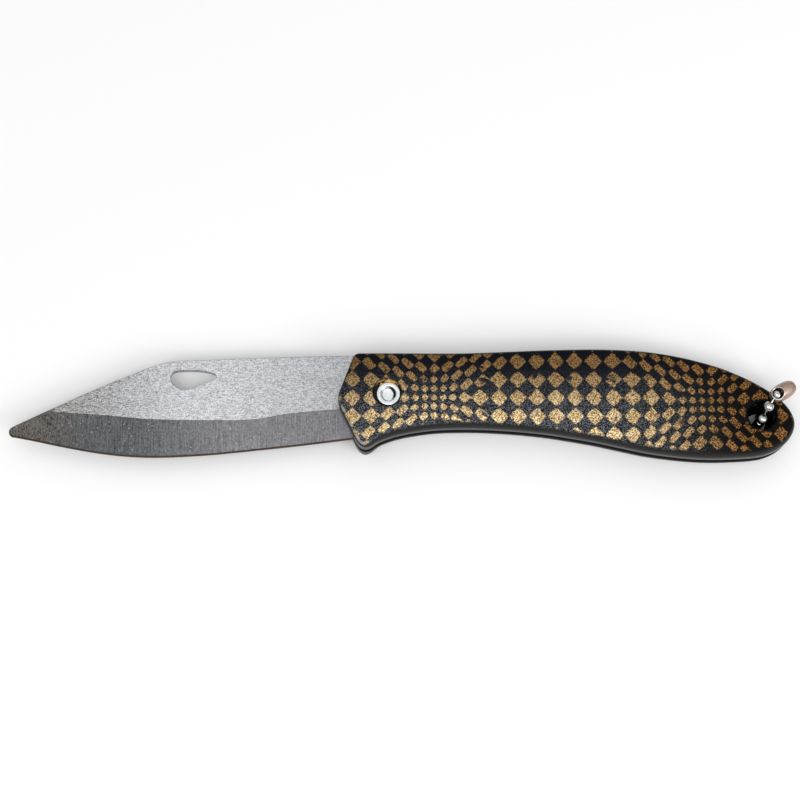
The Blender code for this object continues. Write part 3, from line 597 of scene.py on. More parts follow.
def new_group(name, inputs, outputs, kind="ShaderNodeTree"):
    """An empty group with its named sockets."""
    tree = bpy.data.node_groups.new(name, kind)
    for label, sort, value in inputs:
        socket = tree.interface.new_socket(label, in_out="INPUT", socket_type=f"NodeSocket{sort}")
        if value is not None:
            socket.default_value = value
    for label, sort in outputs:
        tree.interface.new_socket(label, in_out="OUTPUT", socket_type=f"NodeSocket{sort}")
    return tree, tree.nodes.new("NodeGroupInput").outputs, tree.nodes.new("NodeGroupOutput").inputs


def use_group(tree, group, **inputs):
    """A group's outputs, with the inputs that it is used with."""
    return add(tree, "ShaderNodeGroup", inputs, node_tree=group)


def new_finish(name, **settings):
    """A material with its Principled shader's plain values set."""
    material = bpy.data.materials.new(name)
    material.use_nodes = True
    tree = material.node_tree
    shader = tree.nodes["Principled BSDF"]
    for label, value in settings.items():
        shader.inputs[label.replace("_", " ")].default_value = value
    return material, tree, shader


def place_in(tree):
    """The Object coordinates."""
    return add(tree, "ShaderNodeTexCoord")["Object"]


def join(tree, shader, height, depth, **values):
    """Joins values to the shader's sockets, and a height as a bump."""
    values["Normal"] = add(tree, "ShaderNodeBump", {"Height": height, "Distance": depth})[0]
    for label, value in values.items():
        tree.links.new(value, shader.inputs[label.replace("_", " ")])


# Shared effects


def make_strokes_group():
    """Fine strokes along one way, as a tone and a height, both about one half."""
    tree, given, out = new_group(
        "fine_strokes",
        (("Vector", "Vector", None), ("Stretch", "Vector", (1.0, 1.0, 1.0))),
        (("Tone", "Float"), ("Height", "Float")),
    )
    stretched = vectors(tree, "MULTIPLY", given["Vector"], given["Stretch"])
    fine = noise(tree, stretched, 1.0, 3.0, 0.65)
    broad = noise(tree, stretched, 0.17)
    tree.links.new(blended(tree, 0.4, fine, broad), out["Tone"])
    tree.links.new(fine, out["Height"])
    return tree


def make_grain_group():
    """A sparkle of small flakes, as a tone about one half."""
    tree, given, out = new_group(
        "flake_grain",
        (("Vector", "Vector", None), ("Scale", "Float", 3000.0)),
        (("Tone", "Float"), ("Flake", "Color")),
    )
    inputs = {"Vector": given["Vector"], "Scale": given["Scale"], "Randomness": 1.0}
    flake = add(tree, "ShaderNodeTexVoronoi", inputs)["Color"]
    soft = noise(tree, given["Vector"], given["Scale"])
    value = add(tree, "ShaderNodeSeparateColor", {0: flake})[0]
    tree.links.new(blended(tree, 0.45, value, soft), out["Tone"])
    tree.links.new(flake, out["Flake"])
    return tree


def make_check_group():
    """A diamond check whose rows crowd together round two places."""
    tree, given, out = new_group(
        "crowded_check",
        (
            ("Vector", "Vector", None),
            ("Middle", "Vector", (0.0, 0.0, 0.0)),
            ("Phase", "Vector", (0.0, 0.0, 0.0)),
            ("Rows", "Float", 210.0),
            ("Crowding", "Float", 3.3),
            ("Reach", "Float", 0.0105),
            ("Span", "Float", 0.0685),
            ("Lean", "Float", 0.0015),
            ("Gap", "Float", 0.05),
            ("Crowded gap", "Float", 0.17),
            ("Wobble", "Float", 0.3),
        ),
        (("Ink", "Float"),),
    )
    moved = vectors(tree, "SUBTRACT", given["Vector"], given["Middle"])
    ragged = noise(tree, given["Vector"], 3800.0, output="Color")
    ragged = vectors(tree, "SUBTRACT", ragged, (0.5, 0.5, 0.5))
    moved = vectors(tree, "MULTIPLY_ADD", ragged, (RAGGED_EDGE, RAGGED_EDGE, 0.0), moved)
    parts = split(tree, moved)
    phases = split(tree, given["Phase"])
    waves = []
    nears = []
    for operation, phase, lean in (("ADD", phases[0], "SUBTRACT"), ("SUBTRACT", phases[1], "ADD")):
        across = maths(tree, operation, parts[0], parts[1])
        half_span = product(tree, maths(tree, lean, given["Span"], given["Lean"]), 0.5)
        from_place = maths(tree, "SUBTRACT", maths(tree, "ABSOLUTE", across), half_span)
        share = maths(tree, "DIVIDE", from_place, given["Reach"])
        crowd = product(tree, ranged(tree, share, -1.0, 1.0), given["Crowding"], maths(tree, "SIGN", across))
        rows = maths(tree, "ADD", maths(tree, "MULTIPLY_ADD", across, given["Rows"], crowd), phase)
        waves.append(maths(tree, "SINE", product(tree, rows, pi)))
        nears.append(ranged(tree, maths(tree, "ABSOLUTE", share), 0.5, 1.1, 1.0, 0.0))
    gap = ranged(tree, product(tree, *nears), 0.0, 1.0, given["Gap"], given["Crowded gap"])
    uneven = maths(tree, "SUBTRACT", noise(tree, given["Vector"], 420.0), 0.5)
    gap = maths(tree, "MULTIPLY_ADD", uneven, given["Wobble"], gap)
    cells = maths(tree, "SUBTRACT", product(tree, *waves), gap)
    tree.links.new(ranged(tree, cells, -0.05, 0.05), out["Ink"])
    return tree


# Finishes


def make_printed_plastic(grain, check, name, face, outwards):
    """Black plastic with a gold flake check printed on its flat face."""
    material, tree, shader = new_finish(name, Coat_Roughness=0.2, Specular_IOR_Level=0.06)
    place = place_in(tree)
    parts = split(tree, place)
    x, y, z = parts
    drop = product(tree, maths(tree, "SUBTRACT", face, z), outwards)
    blotch = noise(tree, place, 900.0, 3.0)
    from_hole = flat_distance(tree, parts, TAIL_HOLE)
    from_recess = vectors(tree, "DISTANCE", place, (PIVOT.x + RECESS_ASIDE, PIVOT.y, face), output=1)
    by_hole = maths(tree, "MULTIPLY_ADD", blotch, PRINT_BLOTCH, from_hole)
    by_hole = ranged(tree, by_hole, *PRINT_FROM_HOLE)

    # The check, faded over the edge and worn in spots, and gold print on the upper wall of the recess, made
    # bright there as a painted highlight
    ink = use_group(tree, check, Vector=place, Middle=CHECK_MIDDLE, Phase=CHECK_PHASE)["Ink"]
    fade = maths(tree, "MULTIPLY_ADD", maths(tree, "SUBTRACT", blotch, 0.5), FADE_BLOTCH, drop)
    kept = ranged(tree, fade, *FADE_DROP, 1.0, 0.0)
    wear = ranged(tree, noise(tree, place, 230.0, 4.0, 0.6), 0.32, 0.4)
    wall = within(
        tree,
        (y, PIVOT.y + 0.4 * RECESS_RADIUS, PIVOT.y + 0.8 * RECESS_RADIUS),
        (drop, *WALL_DROP),
        (from_recess, *WALL_REACH),
        (blotch, 0.44, 0.5),
    )
    ink = maths(tree, "MAXIMUM", product(tree, ink, kept, wear, by_hole), wall)

    # The colours
    flakes = use_group(tree, grain, Vector=place, Scale=5000.0)["Tone"]
    specks = use_group(tree, grain, Vector=place, Scale=5600.0)["Tone"]
    # Painted light and shade: darker tones high on the face, paler tones with lit specks low on it
    low = ranged(tree, y, *PAINTED_LIGHT_LOW_FACE)
    tail = ranged(tree, x, *TAIL_FACE)
    tones = {}
    for label, (high_tone, low_tone, tail_tone) in PRINT_TONES.items():
        tones[label] = layered(tree, high_tone, (low, low_tone), (tail, tail_tone))
    gold = layered(
        tree,
        tones["dark_gold"],
        (ranged(tree, flakes, 0.32, 0.46), tones["gold"]),
        (ranged(tree, flakes, 0.52, 0.66), tones["bright_gold"]),
        (ranged(tree, x, *NOSE_FACE, 0.0, NOSE_SHADE), (0.0, 0.0, 0.0)),
        (wall, WALL_GOLD_HIGHLIGHT),
    )
    black = mixed(tree, ranged(tree, specks, 0.52, 0.7), tones["black"], tones["speck"])
    on_face = within(tree, (drop, *FACE_DROP, 1.0, 0.0), (from_hole, *FACE_FROM_HOLE))
    # Off the face: near-black painted shade in the tail hole, and elsewhere a paler black painting the side
    # walls' sheen
    black = mixed(tree, on_face, mixed(tree, by_hole, HOLE_SHADE_BLACK, SIDE_BLACK_AND_SHEEN), black)
    # A painted highlight along the nose's lower front edge, broken up by the blotch
    edge_highlight = within(
        tree,
        (maths(tree, "MULTIPLY_ADD", y, 0.3, x), *EDGE_HIGHLIGHT_FORE),
        (y, *EDGE_HIGHLIGHT_LOW),
        (drop, *EDGE_HIGHLIGHT_START),
        (drop, *EDGE_HIGHLIGHT_END),
        (blotch, 0.4, 0.55),
    )
    black = mixed(tree, edge_highlight, black, EDGE_HIGHLIGHT_GREY)

    deep = within(tree, (from_hole, *DEEP_FROM_HOLE), (drop, *DEEP_DROP))
    height = maths(tree, "MULTIPLY_ADD", ink, 0.6, product(tree, specks, on_face))
    join(
        tree,
        shader,
        height,
        PRINT_BUMP,
        Base_Color=mixed(tree, ink, black, gold),
        Metallic=product(tree, ink, 0.35),
        Roughness=maths(tree, "MULTIPLY_ADD", deep, 0.6, ranged(tree, on_face, 0.0, 1.0, 0.3, 0.5)),
        Coat_Weight=within(tree, (on_face, 0.2, 1.0, 0.2, 0.0), (from_hole, *COAT_FROM_HOLE)),
    )
    return material


def make_flat_steel(strokes, grain):
    """The blade's flats: pale, finely blasted and brushed along the blade."""
    material, tree, shader = new_finish("blade_flat_steel", Metallic=1.0)
    place = place_in(tree)
    x = split(tree, place)[0]
    brushed = use_group(tree, strokes, Vector=place, Stretch=(1000.0, 4800.0, 4800.0))["Height"]
    flakes = use_group(tree, grain, Vector=place, Scale=5400.0)["Tone"]
    tone = blended(tree, 0.38, brushed, flakes)
    tip = ranged(tree, x, *FLAT_TIP)
    tang = ranged(tree, x, *FLAT_TANG)
    colour = toned(tree, tone, (0.4, 0.58), FLAT_TONES, tip, tang)
    join(
        tree,
        shader,
        tone,
        FLAT_BUMP,
        Base_Color=mixed(tree, ranged(tree, x, *FLAT_END), colour, FLAT_END_TONE),
        Roughness=ranged(tree, tone, 0.3, 0.7, 0.36, 0.52),
    )
    return material


def make_ground_steel(strokes, grain):
    """The blade's ground sides: darker, with fine grinding lines across, browner at the tip."""
    material, tree, shader = new_finish("blade_ground_steel", Metallic=1.0)
    place = place_in(tree)
    lines = use_group(tree, strokes, Vector=place, Stretch=(4200.0, 160.0, 160.0))["Height"]
    x = split(tree, place)[0]
    fore = ranged(tree, x, *GROUND_FORE)
    tip = ranged(tree, x, *GROUND_TIP)
    flecks = noise(tree, vectors(tree, "MULTIPLY", place, (2600.0, 1500.0, 1500.0)), 1.0, 3.0, 0.65)
    flecks = ranged(tree, flecks, 0.24, 0.72, smooth=False)
    mottle = mixed(tree, tip, noise(tree, place, 1900.0, 3.0, 0.65), flecks)
    tone = blended(tree, 0.5, lines, mottle)
    colour = toned(tree, tone, (0.38, 0.6), GROUND_TONES, fore, tip)
    sparks = use_group(tree, grain, Vector=place, Scale=4600.0)["Flake"]
    spark = ranged(tree, add(tree, "ShaderNodeSeparateColor", {0: sparks})[1], 0.989, 0.995)
    join(
        tree,
        shader,
        lines,
        GROUND_BUMP,
        Base_Color=mixed(tree, spark, colour, SPARK_TONE),
        Roughness=ranged(tree, tone, 0.3, 0.7, 0.34, 0.5),
    )
    return material


def make_keen_steel(strokes):
    """The narrow bevel at the edge, dulled brown."""
    material, tree, shader = new_finish("blade_edge_steel", Metallic=1.0, Roughness=0.35)
    place = place_in(tree)
    tone = use_group(tree, strokes, Vector=place, Stretch=(3000.0, 900.0, 900.0))["Tone"]
    tree.links.new(mixed(tree, tone, *KEEN_TONES), shader.inputs["Base Color"])
    return material


def make_metal(name, grain, colour, dark, roughness):
    """A plain or plated metal with a faint grain and small differences of tone."""
    material, tree, shader = new_finish(name, Metallic=1.0)
    place = place_in(tree)
    cloud = noise(tree, place, 700.0, 3.0)
    tone = blended(tree, 0.7, use_group(tree, grain, Vector=place, Scale=METAL_GRAIN)["Tone"], cloud)
    join(
        tree,
        shader,
        tone,
        METAL_BUMP,
        Base_Color=mixed(tree, ranged(tree, tone, 0.35, 0.62), dark, colour),
        Roughness=ranged(tree, cloud, 0.3, 0.7, roughness * 0.8, roughness * 1.25),
    )
    return material


def make_rivet_plate(grain):
    """The rivet's plating, with painted shade on one side of the hollow's wall."""
    material = make_metal("rivet_nickel_plate", grain, (0.88, 0.92, 0.925), (0.75, 0.79, 0.795), 0.3)
    tree = material.node_tree
    base = tree.nodes["Principled BSDF"].inputs["Base Color"]
    parts = split(tree, place_in(tree))
    aside = flat_distance(tree, parts, PIVOT + PAINTED_SHADE_ASIDE)
    out = flat_distance(tree, parts, PIVOT)
    lean = maths(tree, "MULTIPLY_ADD", parts[1], 0.3, parts[0])
    start = PIVOT.x + 0.3 * PIVOT.y
    # Painted shade: a dark crescent on one side of the hollow's wall, where it lies in shadow
    painted_shade = within(
        tree,
        (aside, HOLLOW_FLOOR_RADIUS - 0.2 * MM, HOLLOW_FLOOR_RADIUS - 0.05 * MM),
        (out, HOLLOW_RADIUS - 0.1 * MM, HOLLOW_RADIUS, 1.0, 0.0),
        (lean, start - 0.2 * MM, start + 1.3 * MM),
    )
    tree.links.new(mixed(tree, painted_shade, base.links[0].from_socket, PAINTED_SHADE_TONE), base)
    return material


# Handle


def handle_point(shares):
    """A place on the handle's outline from its shares."""
    along, up = shares
    reach = HANDLE_AFT if along > 0 else HANDLE_FORE
    height = HANDLE_RISE if up > 0 else HANDLE_DROP
    return Vector((along * reach, up * height))


def handle_outline():
    """The handle's outline in the world, clockwise from the top front corner."""
    run = [handle_point(shares) for shares in OUTLINE_SHARES]
    guard = handle_point(GUARD_SHARES)
    nose = handle_point(NOSE_SHARES)
    top = run[0]
    outline = corner_run(nose, top, run[1], TOP_CORNER_SETBACK)
    outline += smooth_run(run)[RUN_STEPS:-1]
    outline += corner_run(run[-1], guard, nose, GUARD_CORNER_SETBACK)
    outline += corner_run(guard, nose, top, NOSE_CORNER_SETBACK)
    return [point + PIVOT.xy for point in outline]


def edge_radii(outline, normals, belly_radius):
    """The rounding at each point, by the way the edge faces, under the outline's own radius."""
    count = len(outline)
    radii = []
    for i, normal in enumerate(normals):
        wanted = (
            max(-normal.y, 0) ** 2 * belly_radius
            + max(normal.y, 0) ** 2 * SPINE_EDGE_RADIUS
            + max(-normal.x, 0) ** 2 * NOSE_EDGE_RADIUS
            + max(normal.x, 0) ** 2 * TAIL_EDGE_RADIUS
        )
        after = (i + 1) % count
        turn = normals[i - 1].angle_signed(normals[after])
        if turn > 0:
            along = (outline[after] - outline[i - 1]).length
            wanted = min(wanted, EDGE_CURVE_SHARE * along / turn)
        radii.append(wanted)
    for _ in range(EDGE_SMOOTH_PASSES):
        means = [(radii[i - 1] + radii[i] + radii[(i + 1) % count]) / 3 for i in range(count)]
        radii = [min(radius, mean) for radius, mean in zip(radii, means)]
    return radii


def half_mesh(name, outline, inner, outer, belly_radius):
    """One half of the handle, from its flat slot side to its rounded outer face."""
    normals = outward_normals(outline)
    radii = edge_radii(outline, normals, belly_radius)
    outwards = 1 if outer > inner else -1
    rings = []
    for face, way, edge, angles in (
        (inner, outwards, [SLOT_EDGE_RADIUS] * len(radii), between(0, pi / 2, SLOT_EDGE_STEPS)[::-1]),
        (outer, -outwards, radii, between(0, pi / 2, EDGE_STEPS)),
    ):
        for angle in angles:
            ring = []
            for point, normal, radius in zip(outline, normals, edge):
                moved = point - normal * radius * (1 - cos(angle))
                ring.append((*moved, face + way * radius * (1 - sin(angle))))
            rings.append(ring)
    return ring_mesh(name, rings)


def make_handle(finishes):
    """The two moulded halves, with all that is cut out of them."""
    outline = handle_outline()
    inside = SLOT_TOP - OVERRUN
    recess = flared_profile(RECESS_RADIUS, RECESS_FLOOR, RIM_ROUND, RECESS_STEPS)
    hole = flared_profile(TAIL_HOLE_RADIUS, inside, TAIL_HOLE_FLARE, TAIL_HOLE_STEPS)
    front_cutters = [
        turned_mesh("front_pivot_bore", bore_profile(SHANK_BORE, inside, FRONT_FACE - RIM_ROUND), PIVOT),
        turned_mesh("front_recess", recess, PIVOT + Vector((RECESS_ASIDE, 0, 0))),
        turned_mesh("front_tail_hole", hole, TAIL_HOLE),
    ]
    inside = SLOT_BOTTOM + OVERRUN
    bore = [
        (0, -OVERRUN),
        (RECESS_RADIUS + RIM_ROUND, -OVERRUN),
        (RECESS_RADIUS + RIM_ROUND, 0),
        (RECESS_RADIUS, RIM_ROUND),
        (RECESS_RADIUS, BACK_RECESS_FLOOR),
        (SHANK_BORE, BACK_RECESS_FLOOR),
        (SHANK_BORE, inside),
        (0, inside),
    ]
    relief = [(0, -OVERRUN), (RELIEF_RADIUS, -OVERRUN)]
    for angle in between(0, pi / 2, RELIEF_STEPS):
        radius = RELIEF_RADIUS - RELIEF_ROUND * (1 - cos(angle))
        relief.append((radius, RELIEF_DEPTH - RELIEF_ROUND * (1 - sin(angle))))
    relief.append((0, RELIEF_DEPTH))
    towards = Vector((cos(CHAIN_ANGLE), sin(CHAIN_ANGLE), 0))
    back_cutters = [
        turned_mesh("back_pivot_bore", bore, PIVOT),
        turned_mesh("back_tail_hole", bore_profile(BACK_TAIL_HOLE_RADIUS, -OVERRUN, inside), TAIL_HOLE),
        turned_mesh("chain_relief", relief, TAIL_HOLE + towards * RELIEF_OFFSET),
    ]
    for side, inner, outer, belly_radius, cutters in (
        ("front", SLOT_TOP, FRONT_FACE, BELLY_EDGE_RADIUS, front_cutters),
        ("back", SLOT_BOTTOM, 0, BACK_BELLY_EDGE_RADIUS, back_cutters),
    ):
        name = f"{side}_handle_shell"
        shell = carved(half_mesh(name, outline, inner, outer, belly_radius), cutters)
        prints = [finishes[f"{side}_print"]]
        piece(name, shell, "handle", prints, [f"{side}_handle_half"])


def make_pivot(finishes):
    """The rivet with its dished head in front, and the cap that its shank is spread over."""
    rivet = [
        (0, CAP_BOTTOM),
        (SHANK_RADIUS, CAP_BOTTOM),
        (SHANK_RADIUS, HEAD_BOTTOM),
        (HEAD_RADIUS, HEAD_BOTTOM),
        (HEAD_RADIUS, HEAD_TOP),
        (HOLLOW_RADIUS, HEAD_TOP),
        (HOLLOW_FLOOR_RADIUS, HEAD_TOP - HOLLOW_DEPTH),
        (0, HEAD_TOP - HOLLOW_DEPTH),
    ]
    cap = [(SHANK_BORE, CAP_BOTTOM), (HEAD_RADIUS, CAP_BOTTOM), (HEAD_RADIUS, CAP_TOP), (SHANK_BORE, CAP_TOP)]
    for name, profile, node in (
        ("rivet_with_dished_head", rivet, "pivot_rivet"),
        ("rivet_cap_ring", cap, "pivot_cap"),
    ):
        mesh = turned_mesh(name, rounded_profile(profile, RIM_ROUND), PIVOT)
        piece(name, mesh, "handle", [finishes["rivet"]], [node])


# Blade


def blade_line(table, x):
    """The height of one of the blade's lines at a place along it."""
    rows = [(-along * BLADE_LENGTH, up * (BLADE_RISE if up > 0 else BLADE_DROP)) for along, up in table]
    return table_value(rows, x)


def blade_section(x, back, edge):
    """The places down one side of the blade, from its back to its edge."""
    grind = blade_line(GRIND_LINE_SHARES, x)
    half = BLADE_THICKNESS / 2
    shoulder = min(grind, edge + (back - edge) * GRIND_TOP_SHARE)
    keen = min(edge + KEEN_WIDTH, edge + (shoulder - edge) / 2)

    def half_thickness(y):
        share = min((y - edge) / (grind - edge), 1)
        return EDGE_THICKNESS / 2 + (half - EDGE_THICKNESS / 2) * share

    soft = min(BACK_ROUND, (back - shoulder) / 2)
    side = [(back, half_thickness(back) - soft), (back - soft / 3, half_thickness(back) - soft / 3)]
    side.append((back - soft, half_thickness(back - soft)))
    side += [(y, half_thickness(y)) for y in between(shoulder, keen, GRIND_STRIPS)]
    return [*side, (edge, KEEN_THICKNESS / 2)]


def tang_outline():
    """The tang's outline about the pivot, clockwise from the blade's back at the heel."""
    opened = Vector((cos(STOP_PIN_ANGLE), sin(STOP_PIN_ANGLE))) * STOP_PIN_REACH
    closed = Matrix.Rotation(-CLOSED_ANGLE, 2) @ opened
    ends = []
    for pin, side, level in ((opened, 1, blade_line(BACK_LINE_SHARES, 0)), (closed, -1, -HEEL_DROP)):
        along = pin.normalized()
        across = Vector((-along.y, along.x)) * side * STOP_PIN_CLEAR
        reach_in = sqrt(TANG_RADIUS**2 - across.length_squared)
        ends.append((along * ((level - across.y) / along.y) + across, along * reach_in + across))
    start, end = [atan2(inner.y, inner.x) for _, inner in ends]
    points = list(ends[0])
    for angle in between(start, end, FINE_SEGMENTS)[1:-1]:
        points.append(Vector((cos(angle), sin(angle))) * TANG_RADIUS)
    return [*points, *ends[1][::-1], Vector((-HEEL_REACH, -HEEL_DROP))]


def blade_mesh():
    """The blade as strips between sections, with its tang, in its place."""
    sections = []
    for angle in between(0, pi / 2, TIP_STEPS)[1:-1]:
        x = -BLADE_LENGTH + TIP_RADIUS * (1 - cos(angle))
        rise = TIP_RADIUS * sin(angle)
        sections.append((x, -TIP_DROP + rise, -TIP_DROP - rise))
    for x in between(TIP_RADIUS - BLADE_LENGTH, -HEEL_REACH, BLADE_STATIONS):
        sections.append((x, blade_line(BACK_LINE_SHARES, x), blade_line(EDGE_LINE_SHARES, x)))
    shape = bmesh.new()
    rows = []
    for x, back, edge in sections:
        side = blade_section(x, back, edge)
        loop = [(x, y, z) for y, z in side] + [(x, y, -z) for y, z in side[::-1]]
        rows.append([shape.verts.new(p) for p in loop])
    count = len(rows[0])
    strips = [*STRIP_MATERIALS, KEEN, *STRIP_MATERIALS[::-1], FLAT]
    for low, high in zip(rows, rows[1:]):
        for i, strip in enumerate(strips):
            j = (i + 1) % count
            face = shape.faces.new((low[i], low[j], high[j], high[i]))
            face.material_index = strip
    shape.faces.new(rows[0][::-1]).material_index = GROUND
    tang = tang_outline()
    half = BLADE_THICKNESS / 2
    front = [shape.verts.new((p.x, p.y, half)) for p in tang]
    behind = [shape.verts.new((p.x, p.y, -half)) for p in tang]
    last = rows[-1]
    half_count = count // 2
    shape.faces.new([*last[:half_count], *front[::-1]])
    shape.faces.new([*last[: half_count - 1 : -1], *behind[::-1]])
    for i in range(len(tang) - 1):
        shape.faces.new((front[i], front[i + 1], behind[i + 1], behind[i]))
    shape.faces.new((last[0], last[-1], behind[0], front[0]))
    shape.faces.new((last[half_count - 1], front[-1], behind[-1], last[half_count]))
    bmesh.ops.recalc_face_normals(shape, faces=shape.faces)
    mesh = bpy.data.meshes.new("blade_body")
    shape.to_mesh(mesh)
    shape.free()
    mesh.transform(Matrix.Translation(PIVOT + Vector((0, 0, BLADE_MIDDLE))))
    return mesh


def make_blade(finishes):
    """The blade with its thumb hole, chamfered on both sides, and its bore."""
    middle = PIVOT.xy + Vector((-THUMB_HOLE_REACH, THUMB_HOLE_RISE))
    reach = Vector((THUMB_HOLE_LENGTH / 2, THUMB_HOLE_HEIGHT / 2))
    outline = smooth_run([middle + Vector(shares) * reach for shares in THUMB_HOLE_SHARES], closed=True)
    centre = sum(outline, Vector((0, 0))) / len(outline)
    half = BLADE_THICKNESS / 2
    grown = THUMB_HOLE_CHAMFER
    levels = ((half - grown, 0), (half, grown), (half + OVERRUN, grown))
    rings = []
    for height, grown in [(-height, grown) for height, grown in levels[::-1]] + [*levels]:
        moved = [point + (point - centre).normalized() * grown for point in outline]
        rings.append([(*point, BLADE_MIDDLE + height) for point in moved])
    bore = bore_profile(SHANK_BORE, BLADE_MIDDLE - BLADE_THICKNESS, BLADE_MIDDLE + BLADE_THICKNESS)
    cutters = [ring_mesh("thumb_hole", rings), turned_mesh("blade_pivot_bore", bore, PIVOT)]
    body = blade_mesh()
    steels = [finishes["flat_steel"], finishes["ground_steel"], finishes["keen_steel"]]
    for steel in steels:
        body.materials.append(steel)
    for cutter in cutters:
        cutter.materials.append(finishes["flat_steel"])
    piece("blade_body", carved(body, cutters), "blade", steels, ["blade"], BLADE_SHARP_DEGREES)


# Chain


def bead_places():
    """Each bead's middle, read from its solid."""
    boxes = [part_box(f"chain_bead_{number:02d}") for number in range(1, BEAD_COUNT + 1)]
    return [(low + high) / 2 for low, high in boxes]


def make_chain_tree():
    """Beads on the points of a path and a wire along it."""
    tree, given, out = new_group(
        "bead_chain",
        (
            ("Path", "Geometry", None),
            ("Bead", "Object", None),
            ("Wire radius", "Float", WIRE_RADIUS),
            ("Metal", "Material", None),
        ),
        (("Chain", "Geometry"),),
        "GeometryNodeTree",
    )
    path = add(tree, "GeometryNodeMeshToCurve", {0: given["Path"]})[0]
    bead = add(tree, "GeometryNodeObjectInfo", {"Object": given["Bead"]})["Geometry"]
    points = add(tree, "GeometryNodeCurveToPoints", {0: path}, mode="EVALUATED")
    inputs = {"Points": points[0], "Instance": bead, "Rotation": points["Rotation"]}
    beads = add(tree, "GeometryNodeInstanceOnPoints", inputs)[0]
    inputs = {"Resolution": WIRE_SEGMENTS, "Radius": given["Wire radius"]}
    ring = add(tree, "GeometryNodeCurvePrimitiveCircle", inputs)[0]
    inputs = {"Curve": path, "Profile Curve": ring, "Fill Caps": True}
    wire = add(tree, "GeometryNodeCurveToMesh", inputs)[0]
    wire = add(tree, "GeometryNodeSetShadeSmooth", {0: wire})[0]
    joined = tree.nodes.new("GeometryNodeJoinGeometry")
    for shape in (beads, wire):
        tree.links.new(shape, joined.inputs[0])
    real = add(tree, "GeometryNodeRealizeInstances", {0: joined.outputs[0]})[0]
    painted = add(tree, "GeometryNodeSetMaterial", {0: real, "Material": given["Metal"]})[0]
    tree.links.new(painted, out["Chain"])
    return tree


def bead_profile():
    """A hollow ball with a small rolled lip round the hole at each end."""
    start = asin(BEAD_LIP_RADIUS / BEAD_RADIUS)
    angles = between(start, pi - start, BEAD_STEPS)
    side = [(BEAD_RADIUS * sin(angle), -BEAD_RADIUS * cos(angle)) for angle in angles]
    low = [(BEAD_HOLE_RADIUS, -BEAD_LIP_DEPTH), (BEAD_RIM_RADIUS, side[0][1])]
    high = [(BEAD_RIM_RADIUS, side[-1][1]), (BEAD_HOLE_RADIUS, BEAD_LIP_DEPTH)]
    return low + side + high


def make_chain(finishes):
    """The loop of beads and wires, and the coupling that closes it."""
    places = bead_places()
    path = bpy.data.meshes.new("chain_path")
    path.from_pydata([tuple(p) for p in places], [(i, i + 1) for i in range(len(places) - 1)], [])
    bead = new_object(turned_mesh("bead", bead_profile(), segments=BEAD_SEGMENTS))
    bead.data.shade_smooth()
    carrier = new_object(path)
    tree = make_chain_tree()
    maker = carrier.modifiers.new("bead_chain", "NODES")
    maker.node_group = tree
    sockets = {item.name: item.identifier for item in tree.interface.items_tree if item.in_out == "INPUT"}
    maker[sockets["Bead"]] = bead
    maker[sockets["Wire radius"]] = WIRE_RADIUS
    maker[sockets["Metal"]] = finishes["chain"]
    mesh = plain_copy(carrier)
    for helper in (carrier, bead):
        bpy.data.objects.remove(helper)
    nodes = [f"chain_bead_{number:02d}" for number in range(1, BEAD_COUNT + 1)]
    nodes += [f"chain_link_{number:02d}" for number in range(1, BEAD_COUNT)]
    chrome = [finishes["chain"]]
    piece("bead_chain_loop", mesh, "chain", chrome, nodes, CHAIN_SHARP_DEGREES)
    make_coupling(finishes, places[0], places[-1])


def egg_radius(along, length, radius):
    """The radius of the coupling's shell at a place along it."""
    share = max(1 - (2 * along / length) ** 2, 0) ** 0.5
    return radius * share**COUPLING_FULLNESS_SHARE


def egg_mesh(name, length, radius):
    """The coupling's closed form along +X."""
    places = [-length / 2 * cos(angle) for angle in between(0, pi, FINE_SEGMENTS)[1:-1]]
    side = [(egg_radius(along, length, radius), along) for along in places]
    mesh = turned_mesh(name, [(0, -length / 2), *side, (0, length / 2)], segments=FINE_SEGMENTS)
    mesh.transform(Matrix.Rotation(pi / 2, 4, "Y"))
    return mesh


